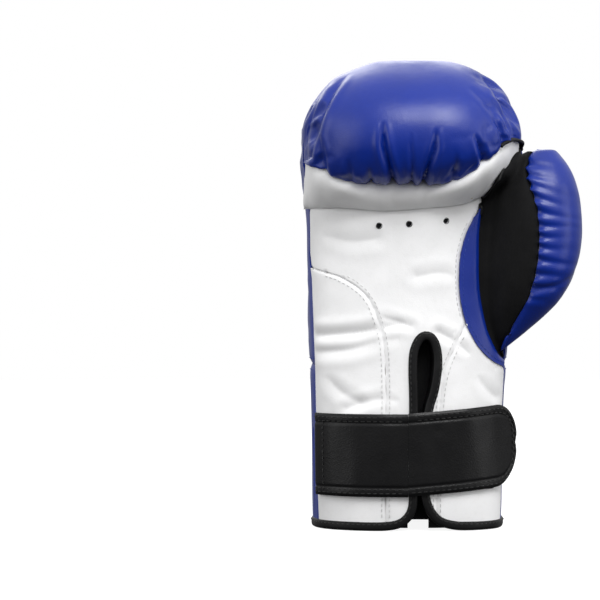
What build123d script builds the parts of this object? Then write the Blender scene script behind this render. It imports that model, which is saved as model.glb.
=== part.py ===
from build123d import *
import math
import os

# Right-hand training boxing glove with a hook-and-loop wrist strap, standing on its cuff.
#
# Frame, in millimetres: +Z runs from the cuff hem to the knuckles, the palm faces -Y and the
# thumb lies on +X. The origin is the middle of the cuff at the hem.
#
# Every layer is cut from the same few lofted forms. hand_form is the cuff and hand, fist_form the
# padded fist, thumb_form the thumb and hand_cavity the room for the hand. A form is drawn "inset":
# a positive inset lies inside the leather, a negative one outside it.

# ---------------------------------------------------------------- driving dimensions
GLOVE_LENGTH = 280.0
FIST_LOW = 206.0  # underside of the fist, where the fingers fold over the palm
PALM_HIGH = 193.0  # seam between the palm and the finger grip
WRIST_SEAM = 95.0  # seam between the cuff and the back of the hand
SIDE_SEAM = -10.0  # Y of the seam between the palm leather and the back leather
UNDERSIDE_BACK = -34.0  # Y where the underside of the folded fingers meets the palm

SKIN = 1.2  # leather
LINING = 1.0  # lining cloth
BINDING = 1.0  # edge binding, each leg of its fold
LAYER_GAP = 0.2  # room between one layer and the next
SEAM_GAP = 0.3  # room between two pieces sewn edge to edge
BINDING_HIGH = 7.0
SQUARENESS = 2.5  # 2 draws an ellipse, more a rounder rectangle
OUTLINE_POINTS = 12

SLIT_WIDTH = 10.0
SLIT_MIDDLE = 5.0  # X of the slit down the inside of the wrist
SLIT_TEAR = (7.0, 96.0)  # X and Z of the middle of the slit's round end
SLIT_TEAR_HALF = (8.0, 22.0)
SLIT_BACK = -15.0  # Y, the slit cuts only the wall in front of this
SLIT_BINDING_WIDTH = 4.5
SLIT_GUSSET_SIDES = (-10.0, 22.0)
SLIT_GUSSET_HIGH = 124.0

GRIP_RADIUS = 6.5
GRIP_HALF_LENGTH = 44.0
GRIP_Y = -36.5

STRAP_LOW, STRAP_HIGH = 20.5, 69.5
STRAP_LEFT, STRAP_HINGE, STRAP_JOIN, STRAP_TIP = -57.0, -48.75, -1.75, 62.0
STRAP_TAB_LIFT = 4.0  # the tab runs a little uphill towards its tip
STRAP_GAP = 0.5  # room each side of the two strap folds
STRAP_INNER, STRAP_OUTER = 1.8, 3.7  # distance outside the leather
STRAP_TIP_RADIUS = 20.0
HOOK_THICKNESS = 0.9
LOOP_THICKNESS = 1.1
HOOK_SPAN = (17.0, 54.0)  # X of the ends of each fastening patch
LOOP_SPAN = (17.0, 52.0)
HOOK_LIFT = 2.0
PATCH_MARGIN = 4.0  # the patches stay this far inside the strap's edges
HOOK_RADIUS = 6.0
LOOP_RADIUS = 3.0

BADGE_CENTRE = (-4.4, 53.0)
BADGE_SIZE = (93.0, 58.0)
BADGE_BORDER_SIZE = (86.0, 48.0)
BADGE_BORDER_WIDTH = 2.5
BADGE_RADII = (5.0, 3.0, 1.5)  # corners of the patch, the border and the panel
BADGE_THICKNESS = 1.0
BADGE_PRINT_THICKNESS = 0.5

VENT_RADIUS = 1.5
VENT_DEPTHS = (26.0, 46.0)  # how far out in front of the middle the vents start and end
VENTS = ((-18.3, 181.0), (-0.6, 182.0), (21.3, 184.0))

PASSAGE_CENTRE = (-13.0, 140.0)  # Y and Z of the way from the palm into the thumb
PASSAGE_HALF = (10.0, 19.0)
PASSAGE_ENDS = (30.0, 67.0)  # X where it starts in the palm and ends in the thumb
THUMB_CLEARANCE = 0.6
FAR = 200.0  # reaches past the whole glove
BELOW = -10.0  # Z that lies below the hem
ABOVE_PALM = PALM_HIGH + 5.0  # Z that lies above the palm's leather
PALM_DEPTH = 80.0  # reaches past the front of the glove
SIDE = 90.0  # X that lies past the hand

# Levels of each form: height, then left and right, then palm side and back.
HAND_LEVELS = (
    (0.0, (-57.0, 57.0), (-36.5, 38.0)),
    (45.0, (-58.0, 58.0), (-37.5, 39.5)),
    (92.0, (-59.0, 60.0), (-36.5, 42.0)),
    (130.0, (-60.5, 64.0), (-35.5, 50.0)),
    (170.0, (-62.0, 67.5), (-34.5, 58.0)),
    (206.0, (-63.0, 69.0), (-34.0, 62.0)),
)
FIST_LEVELS = (
    (206.0, (-63.0, 69.0), (-52.0, 62.0)),
    (216.0, (-63.5, 69.5), (-63.0, 62.0)),
    (230.0, (-63.5, 69.0), (-68.0, 60.0)),
    (244.0, (-62.5, 66.0), (-66.0, 55.0)),
    (257.0, (-58.0, 60.5), (-58.0, 46.5)),
    (267.0, (-49.0, 53.0), (-46.0, 36.0)),
    (275.0, (-34.0, 41.0), (-31.0, 23.0)),
    (GLOVE_LENGTH, (-11.0, 19.0), (-12.0, 6.0)),
)
THUMB_LEVELS = (
    (110.0, (50.0, 58.0), (-22.0, -8.0)),
    (120.0, (49.0, 72.5), (-31.0, 2.0)),
    (130.0, (48.0, 84.0), (-38.0, 8.0)),
    (142.0, (48.0, 94.0), (-44.0, 12.0)),
    (156.0, (48.0, 100.5), (-47.0, 14.0)),
    (174.0, (50.0, 104.0), (-48.0, 14.0)),
    (192.0, (52.0, 103.5), (-47.0, 12.0)),
    (206.0, (56.0, 100.5), (-44.0, 8.0)),
    (218.0, (63.0, 95.0), (-38.0, 2.0)),
    (227.0, (73.0, 88.0), (-29.0, -8.0)),
)
CAVITY_LEVELS = (
    (0.0, (-47.0, 47.0), (-28.0, 28.5)),
    (60.0, (-43.0, 43.0), (-27.0, 25.0)),
    (120.0, (-46.0, 47.0), (-27.0, 18.0)),
    (FIST_LOW, (-48.0, 50.0), (-27.0, 14.0)),
)
FINGER_LEVELS = (
    (FIST_LOW, (-48.0, 50.0), (-27.0, 14.0)),
    (225.0, (-47.0, 49.0), (-38.0, 10.0)),
    (245.0, (-43.0, 45.0), (-40.0, 2.0)),
    (250.0, (-38.0, 40.0), (-36.0, -2.0)),
)
THUMB_ROOM_LEVELS = (
    (126.0, (60.0, 71.0), (-23.0, -7.0)),
    (145.0, (58.0, 86.0), (-31.0, -3.0)),
    (180.0, (62.0, 91.0), (-33.0, -4.0)),
    (206.0, (67.0, 89.0), (-30.0, -8.0)),
)

# Seams on the palm side: X and Z of the points that each one runs through.
HEEL_SEAM = (
    (-80.0, 157.0), (-61.0, 156.0), (-42.0, 151.0), (-25.0, 138.0), (-16.5, 117.0),
    (-14.6, 94.0), (-14.6, 45.0), (-14.6, BELOW),
)
CORNER_SEAM = ((29.0, 124.0), (21.0, 98.0), (17.5, 76.0), (16.2, 35.0), (15.6, BELOW))
CRESCENT_SEAM = (
    (39.5, ABOVE_PALM), (31.5, 172.0), (29.0, 148.0), (33.5, 122.0), (41.0, 109.0), (62.0, 88.0),
)
WEB_SEAM = (
    (44.8, ABOVE_PALM), (41.5, 172.0), (41.0, 146.0), (46.0, 122.0), (50.0, 111.0), (56.0, 104.0),
)
GUSSET_SEAM = (
    (66.0, 228.0), (77.0, 200.0), (79.5, 174.0), (77.0, 153.0), (66.0, 129.0), (53.0, 109.0),
)
GUSSET_DEPTH = 19.0  # the gusset's cloth starts this far in front of the middle
GUSSET_INSIDE = 40.0  # X that lies inside the thumb's gusset


# ---------------------------------------------------------------- forms
def outline_points(sides, faces, inset):
    """Points round one level: half-widths meet the palm half and the back half at their widest."""
    middle = (sides[0] + sides[1]) / 2
    reach = (sides[1] - sides[0]) / 2 - inset
    widest = (faces[0] + faces[1]) / 2
    points = []
    for step in range(OUTLINE_POINTS):
        angle = 2 * math.pi * step / OUTLINE_POINTS
        across, along = math.cos(angle), math.sin(angle)
        depth = (faces[1] - widest if along > 0 else widest - faces[0]) - inset
        points.append((
            middle + reach * math.copysign(abs(across) ** (2 / SQUARENESS), across),
            widest + depth * math.copysign(abs(along) ** (2 / SQUARENESS), along),
        ))
    return points


def form(levels, inset=0.0, closed_top=False, closed_base=False):
    """Loft through the levels. A closed end moves inwards by the inset, an open one stays."""
    low, high = levels[0][0], levels[-1][0]
    new_low = low + inset if closed_base else low
    new_high = high - inset if closed_top else high
    stretch = (new_high - new_low) / (high - low)
    with BuildPart() as lofted:
        for height, sides, faces in levels:
            with BuildSketch(Plane.XY.offset(new_low + (height - low) * stretch)):
                with BuildLine():
                    Spline(*outline_points(sides, faces, inset), periodic=True)
                make_face()
        loft()
    return lofted.part


def hand_form(inset):
    return form(HAND_LEVELS, inset)


def fist_form(inset):
    return form(FIST_LEVELS, inset, closed_top=True)


def thumb_form(inset):
    return form(THUMB_LEVELS, inset, closed_top=True, closed_base=True)


def thumb_room_form(inset):
    return form(THUMB_ROOM_LEVELS, inset, closed_top=True, closed_base=True)


def hand_cavity(inset):
    return form(CAVITY_LEVELS, inset)


def finger_cavity(inset):
    return form(FINGER_LEVELS, inset, closed_top=True)


def shell(outer, inner):
    """What lies inside the outer form and outside the inner one."""
    with BuildPart() as between:
        add(outer)
        add(inner, mode=Mode.SUBTRACT)
    return between.part


# ---------------------------------------------------------------- regions
def slab(low=-FAR, high=2 * FAR, left=-FAR, right=FAR, front=-FAR, back=FAR):
    """A plain block from low to high, left to right and front to back."""
    with BuildPart() as block:
        with Locations(((left + right) / 2, (front + back) / 2, (low + high) / 2)):
            Box(right - left, back - front, high - low)
    return block.part


def slit_prism(offset):
    """The slit in the palm side of the cuff: a straight cut with a rounded, wider end."""
    with BuildPart() as prism:
        with BuildSketch(Plane.XZ.offset(-SLIT_BACK)):
            with Locations((SLIT_MIDDLE, (BELOW + SLIT_TEAR[1]) / 2)):
                Rectangle(SLIT_WIDTH + 2 * offset, SLIT_TEAR[1] - BELOW)
            with Locations(SLIT_TEAR):
                Ellipse(SLIT_TEAR_HALF[0] + offset, SLIT_TEAR_HALF[1] + offset)
        extrude(amount=PALM_DEPTH)
    return prism.part


def beside_seam(seam, side, start=0.0):
    """Everything on the palm side that lies between a seam and a far X."""
    first, last = seam[0], seam[-1]
    with BuildPart() as prism:
        with BuildSketch(Plane.XZ.offset(start)):
            with BuildLine():
                Spline(*seam)
                Polyline(last, (side, last[1]), (side, first[1]), first)
            make_face()
        extrude(amount=PALM_DEPTH)
    return prism.part


def passage_prism():
    """The way from the palm into the thumb."""
    with BuildPart() as prism:
        with BuildSketch(Plane.YZ.offset(PASSAGE_ENDS[0])):
            with Locations(PASSAGE_CENTRE):
                Ellipse(*PASSAGE_HALF)
        extrude(amount=PASSAGE_ENDS[1] - PASSAGE_ENDS[0])
    return prism.part


def grip_cylinder(radius):
    """The roll that the fingers close on."""
    with BuildPart() as roll:
        with BuildSketch(Plane.YZ.offset(-GRIP_HALF_LENGTH)):
            with Locations((GRIP_Y, (PALM_HIGH + FIST_LOW) / 2)):
                Circle(radius)
        extrude(amount=2 * GRIP_HALF_LENGTH)
    return roll.part


def badge_prism(width, height, corner):
    with BuildPart() as prism:
        with BuildSketch(Plane.XZ):
            with Locations(BADGE_CENTRE):
                RectangleRounded(width, height, corner)
        extrude(amount=-PALM_DEPTH)
    return prism.part


def strap_prism(left, right, low, high, lift=0.0, tip_radius=0.0):
    """A length of strap seen from the palm side; its tip may be rounded and lifted."""
    with BuildPart() as prism:
        with BuildSketch(Plane.XZ):
            with BuildLine():
                outline = Polyline(
                    (left, low), (right, low + lift), (right, high + lift), (left, high), close=True
                )
            make_face()
            if tip_radius:
                fillet(right_corners(outline, right), tip_radius)
        extrude(amount=PALM_DEPTH)
    return prism.part


def right_corners(outline, right):
    """The two corners of an outline that lie at its right-hand end."""
    return [corner for corner in outline.vertices() if abs(corner.X - right) < 0.01]


# ---------------------------------------------------------------- shared layers
leather = hand_form(0)
under_leather = hand_form(SKIN)
fist_leather = fist_form(0)
under_fist_leather = fist_form(SKIN)
padding_out = hand_form(SKIN + LAYER_GAP)
fist_padding_out = fist_form(SKIN + LAYER_GAP)
hand_room = hand_cavity(0)
around_lining = hand_cavity(-LINING)
padding_in = hand_cavity(-LINING - LAYER_GAP)
finger_room = finger_cavity(0)
around_finger_lining = finger_cavity(-LINING)
fist_padding_in = finger_cavity(-LINING - LAYER_GAP)

leather_wall = shell(leather, under_leather)
padding_wall = shell(padding_out, padding_in)
lining_wall = shell(around_lining, hand_room)
fist_wall = shell(fist_leather, under_fist_leather)

# The bindings fold round both faces of the wall.
wall_out = hand_form(-LAYER_GAP)
wall_in = hand_cavity(LAYER_GAP)
bound_wall = shell(hand_form(-LAYER_GAP - BINDING), hand_cavity(LAYER_GAP + BINDING))
full_wall = shell(wall_out, wall_in)

slit_cut = slit_prism(BINDING + LAYER_GAP)
passage = passage_prism()
wall_low = BINDING + LAYER_GAP
half_gap = SEAM_GAP / 2
back_edge = SIDE_SEAM + half_gap
palm_edge = SIDE_SEAM - half_gap

finished = []


def piece(built, name):
    """Labels a finished piece for export."""
    built.part.label = name
    finished.append(built.part)


# ---------------------------------------------------------------- leather
with BuildPart() as main_cover:
    add(leather_wall)
    add(slab(low=WRIST_SEAM + half_gap, front=back_edge), mode=Mode.INTERSECT)
    add(passage, mode=Mode.SUBTRACT)
    add(fist_wall)
piece(main_cover, "main_cover")

with BuildPart() as cuff_back_cover:
    add(leather_wall)
    add(slab(low=wall_low, high=WRIST_SEAM - half_gap, front=back_edge), mode=Mode.INTERSECT)
piece(cuff_back_cover, "cuff_back_cover")

palm_leather = slab(low=wall_low, high=PALM_HIGH - half_gap, back=palm_edge)
heel_region = beside_seam(HEEL_SEAM, -SIDE)
corner_region = beside_seam(CORNER_SEAM, SIDE)
crescent_region = beside_seam(CRESCENT_SEAM, SIDE)
web_region = beside_seam(WEB_SEAM, SIDE)

with BuildPart() as vents:
    with BuildSketch(Plane.XZ.offset(VENT_DEPTHS[0])):
        with Locations(*VENTS):
            Circle(VENT_RADIUS)
    extrude(amount=VENT_DEPTHS[1] - VENT_DEPTHS[0])

with BuildPart() as palm_cover:
    add(leather_wall)
    add(palm_leather, mode=Mode.INTERSECT)
    with Locations((SEAM_GAP, 0, SEAM_GAP)):
        add(heel_region, mode=Mode.SUBTRACT)
    with Locations((-SEAM_GAP, 0, 0)):
        add(corner_region, mode=Mode.SUBTRACT)
        add(crescent_region, mode=Mode.SUBTRACT)
    add(slit_cut, mode=Mode.SUBTRACT)
    add(vents.part, mode=Mode.SUBTRACT)
piece(palm_cover, "palm_cover")

with BuildPart() as heel_cover:
    add(leather_wall)
    add(palm_leather, mode=Mode.INTERSECT)
    add(heel_region, mode=Mode.INTERSECT)
piece(heel_cover, "heel_cover")

with BuildPart() as cuff_corner_cover:
    add(leather_wall)
    add(palm_leather, mode=Mode.INTERSECT)
    add(corner_region, mode=Mode.INTERSECT)
    with Locations((-SEAM_GAP, 0, -SEAM_GAP)):
        add(crescent_region, mode=Mode.SUBTRACT)
piece(cuff_corner_cover, "cuff_corner_cover")

with BuildPart() as thumb_base_strip:
    add(leather_wall)
    add(palm_leather, mode=Mode.INTERSECT)
    add(crescent_region, mode=Mode.INTERSECT)
    with Locations((-SEAM_GAP, 0, -SEAM_GAP)):
        add(web_region, mode=Mode.SUBTRACT)
piece(thumb_base_strip, "thumb_base_strip")

with BuildPart() as web_panel:
    add(leather_wall)
    add(palm_leather, mode=Mode.INTERSECT)
    add(web_region, mode=Mode.INTERSECT)
    add(passage, mode=Mode.SUBTRACT)
piece(web_panel, "web_panel")

# The finger grip: a padded roll under the folded fingers, with its own leather.
grip_zone = slab(low=PALM_HIGH + half_gap, high=FIST_LOW - half_gap, back=palm_edge)
grip_leather = grip_cylinder(GRIP_RADIUS)
with BuildPart() as grip_cover:
    add(leather_wall)
    add(grip_leather)
    add(grip_zone, mode=Mode.INTERSECT)
    add(grip_cylinder(GRIP_RADIUS - SKIN), mode=Mode.SUBTRACT)
piece(grip_cover, "grip_cover")

with BuildPart() as grip_roll:
    add(grip_cylinder(GRIP_RADIUS - SKIN - LAYER_GAP))
piece(grip_roll, "grip_roll")

with BuildPart() as finger_underside:
    add(fist_padding_out)
    add(slab(low=FIST_LOW, high=FIST_LOW + SKIN, back=UNDERSIDE_BACK), mode=Mode.INTERSECT)
piece(finger_underside, "finger_underside")

# ---------------------------------------------------------------- padding
with BuildPart() as cuff_padding:
    add(padding_wall)
    add(slab(low=wall_low, high=WRIST_SEAM - half_gap, front=back_edge), mode=Mode.INTERSECT)
piece(cuff_padding, "cuff_padding")

with BuildPart() as hand_back_padding:
    add(padding_wall)
    add(
        slab(low=WRIST_SEAM + half_gap, high=FIST_LOW - half_gap, front=back_edge),
        mode=Mode.INTERSECT,
    )
    add(passage, mode=Mode.SUBTRACT)
piece(hand_back_padding, "hand_back_padding")

with BuildPart() as palm_padding:
    add(padding_wall)
    add(slab(low=wall_low, high=FIST_LOW - half_gap, back=palm_edge), mode=Mode.INTERSECT)
    add(slit_cut, mode=Mode.SUBTRACT)
    add(vents.part, mode=Mode.SUBTRACT)
    add(passage, mode=Mode.SUBTRACT)
    add(grip_cylinder(GRIP_RADIUS + LAYER_GAP), mode=Mode.SUBTRACT)
piece(palm_padding, "palm_padding")

fist_padding = shell(fist_padding_out, fist_padding_in)
with BuildPart() as knuckle_padding:
    add(fist_padding)
    add(slab(low=FIST_LOW + half_gap, front=back_edge), mode=Mode.INTERSECT)
piece(knuckle_padding, "knuckle_padding")

with BuildPart() as finger_padding:
    add(fist_padding)
    add(slab(low=FIST_LOW + SKIN + LAYER_GAP, back=palm_edge), mode=Mode.INTERSECT)
piece(finger_padding, "finger_padding")

# ---------------------------------------------------------------- lining
with BuildPart() as hand_lining:
    add(lining_wall)
    add(slab(low=wall_low, high=FIST_LOW - half_gap), mode=Mode.INTERSECT)
    add(slit_cut, mode=Mode.SUBTRACT)
    add(passage, mode=Mode.SUBTRACT)
piece(hand_lining, "hand_lining")

with BuildPart() as finger_lining:
    add(around_finger_lining)
    add(finger_room, mode=Mode.SUBTRACT)
piece(finger_lining, "finger_lining")

# ---------------------------------------------------------------- edge bindings
with BuildPart() as wall_over_hem:
    add(full_wall)
    add(slab(low=BINDING), mode=Mode.INTERSECT)

with BuildPart() as hem_binding:
    add(bound_wall)
    add(slab(low=0, high=BINDING_HIGH), mode=Mode.INTERSECT)
    add(slit_prism(SLIT_BINDING_WIDTH + SEAM_GAP), mode=Mode.SUBTRACT)
    add(wall_over_hem.part, mode=Mode.SUBTRACT)
piece(hem_binding, "hem_binding")

with BuildPart() as wall_beside_slit:
    add(wall_over_hem.part)
    add(slit_prism(BINDING), mode=Mode.SUBTRACT)

with BuildPart() as slit_binding:
    add(bound_wall)
    add(slab(low=0, back=SLIT_BACK), mode=Mode.INTERSECT)
    add(slit_prism(SLIT_BINDING_WIDTH), mode=Mode.INTERSECT)
    add(slit_prism(0), mode=Mode.SUBTRACT)
    add(wall_beside_slit.part, mode=Mode.SUBTRACT)
piece(slit_binding, "slit_binding")

gusset_inset = 2 * LAYER_GAP + BINDING
with BuildPart() as slit_gusset:
    add(hand_cavity(gusset_inset))
    add(hand_cavity(gusset_inset + LINING), mode=Mode.SUBTRACT)
    add(
        slab(BINDING_HIGH, SLIT_GUSSET_HIGH, *SLIT_GUSSET_SIDES, back=SLIT_BACK),
        mode=Mode.INTERSECT,
    )
piece(slit_gusset, "slit_gusset")

# ---------------------------------------------------------------- badge on the back of the cuff
badge_top = LAYER_GAP + BADGE_THICKNESS
print_low = badge_top + LAYER_GAP
print_layer = shell(hand_form(-print_low - BADGE_PRINT_THICKNESS), hand_form(-print_low))
with BuildPart() as badge_patch:
    add(shell(hand_form(-badge_top), wall_out))
    add(badge_prism(*BADGE_SIZE, BADGE_RADII[0]), mode=Mode.INTERSECT)
piece(badge_patch, "badge_patch")


def badge_window(shrink):
    """Inside of the printed border, drawn in by a little."""
    side = 2 * (BADGE_BORDER_WIDTH + shrink)
    width, height = BADGE_BORDER_SIZE
    return badge_prism(width - side, height - side, BADGE_RADII[2])


with BuildPart() as badge_border:
    add(print_layer)
    add(badge_prism(*BADGE_BORDER_SIZE, BADGE_RADII[1]), mode=Mode.INTERSECT)
    add(badge_window(0), mode=Mode.SUBTRACT)
piece(badge_border, "badge_border")

with BuildPart() as badge_panel:
    add(print_layer)
    add(badge_window(SEAM_GAP), mode=Mode.INTERSECT)
piece(badge_panel, "badge_panel")

# ---------------------------------------------------------------- wrist strap
strap_edges = (STRAP_LOW, STRAP_HIGH)
patch_edges = (STRAP_LOW + PATCH_MARGIN, STRAP_HIGH - PATCH_MARGIN)
strap_inside = hand_form(-STRAP_INNER)
strap_outside = hand_form(-STRAP_OUTER)
with BuildPart() as strap_anchor:
    add(shell(strap_outside, wall_out))
    add(strap_prism(STRAP_LEFT, STRAP_HINGE - STRAP_GAP, *strap_edges), mode=Mode.INTERSECT)
piece(strap_anchor, "strap_anchor")

with BuildPart() as strap_base:
    add(shell(strap_outside, strap_inside))
    add(
        strap_prism(STRAP_HINGE + STRAP_GAP, STRAP_JOIN - STRAP_GAP, *strap_edges),
        mode=Mode.INTERSECT,
    )
piece(strap_base, "strap_base")

# The tab is thicker than the base by the hook patch sewn under it.
hook_out = STRAP_INNER + HOOK_THICKNESS
tab_in = hook_out + LAYER_GAP
with BuildPart() as strap_tab:
    add(shell(hand_form(-STRAP_OUTER - HOOK_THICKNESS), hand_form(-tab_in)))
    tab_outline = strap_prism(
        STRAP_JOIN + STRAP_GAP, STRAP_TIP, *strap_edges, STRAP_TAB_LIFT, STRAP_TIP_RADIUS
    )
    add(tab_outline, mode=Mode.INTERSECT)
piece(strap_tab, "strap_tab")

with BuildPart() as hook_patch:
    add(shell(hand_form(-hook_out), strap_inside))
    add(strap_prism(*HOOK_SPAN, *patch_edges, HOOK_LIFT, HOOK_RADIUS), mode=Mode.INTERSECT)
piece(hook_patch, "hook_patch")

with BuildPart() as loop_patch:
    add(shell(hand_form(-LAYER_GAP - LOOP_THICKNESS), wall_out))
    add(strap_prism(*LOOP_SPAN, *patch_edges, tip_radius=LOOP_RADIUS), mode=Mode.INTERSECT)
piece(loop_patch, "loop_patch")

# ---------------------------------------------------------------- thumb
# The thumb clears the hand and the fist, so that it can swing on its base.
fist_around = fist_form(-THUMB_CLEARANCE)
with BuildPart() as hand_block:
    add(hand_form(-THUMB_CLEARANCE))
    add(fist_around)
    with Locations((0, 0, -THUMB_CLEARANCE)):
        add(fist_around)

gusset_region = beside_seam(GUSSET_SEAM, GUSSET_INSIDE, GUSSET_DEPTH)
thumb_skin = shell(thumb_form(0), thumb_form(SKIN))
with BuildPart() as thumb_cover:
    add(thumb_skin)
    add(hand_block.part, mode=Mode.SUBTRACT)
    add(passage, mode=Mode.SUBTRACT)
    with Locations((SEAM_GAP, 0, 0)):
        add(gusset_region, mode=Mode.SUBTRACT)
piece(thumb_cover, "thumb_cover")

with BuildPart() as thumb_gusset:
    add(thumb_skin)
    add(hand_block.part, mode=Mode.SUBTRACT)
    add(passage, mode=Mode.SUBTRACT)
    add(gusset_region, mode=Mode.INTERSECT)
piece(thumb_gusset, "thumb_gusset")

with BuildPart() as thumb_padding:
    add(thumb_form(SKIN + LAYER_GAP))
    add(hand_block.part, mode=Mode.SUBTRACT)
    add(thumb_room_form(-LINING - LAYER_GAP), mode=Mode.SUBTRACT)
    add(passage, mode=Mode.SUBTRACT)
piece(thumb_padding, "thumb_padding")

with BuildPart() as thumb_lining:
    add(thumb_room_form(-LINING))
    add(thumb_room_form(0), mode=Mode.SUBTRACT)
    add(hand_block.part, mode=Mode.SUBTRACT)
    add(passage, mode=Mode.SUBTRACT)
piece(thumb_lining, "thumb_lining")

# ---------------------------------------------------------------- export
os.makedirs("parts", exist_ok=True)
for part in finished:
    export_step(part, f"parts/{part.label}.step")
    solids = part.solids()
    print(part.label, len(solids), "solids", [round(solid.volume) for solid in solids], "mm3")
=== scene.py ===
import math

import bmesh
import bpy
import numpy as np
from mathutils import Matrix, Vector
from mathutils.bvhtree import BVHTree


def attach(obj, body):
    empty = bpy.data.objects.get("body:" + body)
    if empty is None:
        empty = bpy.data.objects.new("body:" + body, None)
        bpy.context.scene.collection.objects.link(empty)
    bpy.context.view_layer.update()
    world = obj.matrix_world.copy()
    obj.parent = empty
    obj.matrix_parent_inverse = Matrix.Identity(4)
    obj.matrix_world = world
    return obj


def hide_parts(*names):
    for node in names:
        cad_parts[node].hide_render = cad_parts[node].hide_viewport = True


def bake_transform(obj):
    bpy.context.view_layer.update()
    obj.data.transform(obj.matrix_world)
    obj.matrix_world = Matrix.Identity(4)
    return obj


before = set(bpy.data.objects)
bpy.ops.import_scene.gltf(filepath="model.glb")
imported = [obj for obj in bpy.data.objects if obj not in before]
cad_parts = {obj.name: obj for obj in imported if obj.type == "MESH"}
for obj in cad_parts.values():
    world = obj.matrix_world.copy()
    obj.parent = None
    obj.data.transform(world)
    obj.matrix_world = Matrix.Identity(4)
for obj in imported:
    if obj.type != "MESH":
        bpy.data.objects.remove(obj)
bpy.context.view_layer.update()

# Shapes are worked out in millimetres in the model's frame: +Z from hem to knuckles, the palm
# faces -Y, the thumb lies on +X. They become metres when a mesh is made.
METRES = 0.001
REACH = 300.0  # rays start this far outside the glove

# ---------------------------------------------------------------- driving values
MIDDLE = np.array((2.0, 4.0))  # X and Y of the middle line that the hand's leather is sampled from
FIELD_LOW, FIELD_HIGH, FIELD_STEP = 2.0, 252.0, 2.0
FIELD_ANGLES = 240
WRIST_SEAM = 95.0
POLES = (np.array((-63.0, -13.0, 220.0)), np.array((67.0, -13.0, 228.0)))  # where the pleats meet
LEATHER = 1.2

HEEL_SEAM = (
    (-14.6, 1.5), (-14.6, 45.0), (-14.6, 94.0), (-17.0, 117.0), (-25.0, 138.0), (-40.0, 150.0),
    (-57.5, 156.0),
)
CORNER_SEAM = ((15.6, 1.5), (16.2, 35.0), (17.8, 76.0), (22.0, 98.0), (33.5, 123.0))
CRESCENT_SEAM = (
    (56.5, 97.0), (49.0, 101.0), (42.0, 107.5), (37.0, 115.0), (33.0, 124.0), (29.6, 140.0),
    (29.6, 160.0), (33.0, 175.0), (38.5, 186.0),
)
WEB_SEAM = (
    (58.0, 101.0), (54.0, 104.0), (50.0, 111.0), (45.5, 122.0), (41.5, 143.0), (41.0, 167.0),
    (41.5, 180.0), (43.0, 192.0),
)
GRIP_SEAM = (
    (-64.0, 193.5), (-40.0, 192.0), (-14.0, 190.6), (10.0, 191.6), (33.0, 195.0), (46.0, 200.0),
    (58.0, 209.0), (66.0, 219.0),
)
FIST_EDGE = (  # X across the fist, and how far round the leather goes under it, in degrees
    (-64.0, 188.0), (-58.0, 190.0), (-51.0, 200.0), (-42.0, 208.0), (-24.0, 211.0), (0.0, 210.0),
    (13.0, 211.5), (27.0, 208.0), (36.0, 203.0), (42.0, 196.0), (48.0, 188.0), (54.0, 179.0),
    (60.0, 172.0), (66.0, 170.0),
)
SLIT_LINE = (  # edge of the opening, from the hem on the left, round the top, to the hem
    (-24.0, 0.7), (-14.0, 1.0), (-6.0, 2.6), (-0.5, 6.5), (2.6, 12.0), (3.6, 20.0), (3.8, 50.0),
    (3.8, 80.0), (3.4, 95.0), (4.0, 106.0), (6.8, 112.5), (9.6, 114.3), (12.4, 112.0), (14.4, 105.0),
    (14.3, 96.0), (12.4, 84.0), (9.4, 74.0), (7.2, 62.0), (6.4, 45.0), (6.6, 24.0), (8.4, 15.0),
    (12.4, 8.0), (18.0, 3.6), (27.0, 1.2), (38.0, 0.7),
)
VENTS = ((-18.3, 181.0), (-0.6, 182.0), (21.3, 184.0))
VENT_RADIUS = 1.5

# ---------------------------------------------------------------- sampling the CAD frame
def tree_of(*nodes):
    """A search tree over the faces of CAD nodes, in millimetres."""
    points, faces = [], []
    for node in nodes:
        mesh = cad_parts[node].data
        first = len(points)
        points += [vertex.co / METRES for vertex in mesh.vertices]
        faces += [[first + i for i in face.vertices] for face in mesh.polygons]
    return BVHTree.FromPolygons(points, faces)


def outermost(tree, origin, direction):
    """Where a line from outside, aimed at origin, first meets the surface. NaN if it doesn't."""
    hit = tree.ray_cast(Vector(origin + direction * REACH), Vector(-direction), REACH)[0]
    return np.full(3, np.nan) if hit is None else np.array(hit)


def unit(vectors):
    """The same directions, with lengths of 1."""
    return vectors / np.maximum(np.linalg.norm(vectors, axis=-1, keepdims=True), 1e-9)


def evened(line, times):
    """A line with its bends softened. Its ends stay put."""
    line = line.copy()
    for _ in range(times):
        line[1:-1] = (line[:-2] + 2 * line[1:-1] + line[2:]) / 4
    return line


def along(points, count):
    """The same line with count points, evenly spaced."""
    points = np.asarray(points, float)
    steps = np.linalg.norm(np.diff(points, axis=0), axis=1)
    length = np.concatenate([[0], np.cumsum(steps)])
    at = np.linspace(0, length[-1], count)
    return np.stack([np.interp(at, length, points[:, k]) for k in range(points.shape[1])], axis=1)


def curve(points, count):
    """A smooth line through a few points, evenly spaced."""
    points = np.asarray(points, float)
    ends = np.vstack([2 * points[0] - points[1], points, 2 * points[-1] - points[-2]])
    smooth = []
    for a, b, c, d in zip(ends, ends[1:], ends[2:], ends[3:]):
        for t in np.linspace(0, 1, 16, endpoint=False):
            smooth.append(0.5 * (2 * b + (c - a) * t + (2 * a - 5 * b + 4 * c - d) * t ** 2
                                 + (3 * b - a - 3 * c + d) * t ** 3))
    return along(smooth + [points[-1]], count)


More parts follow.
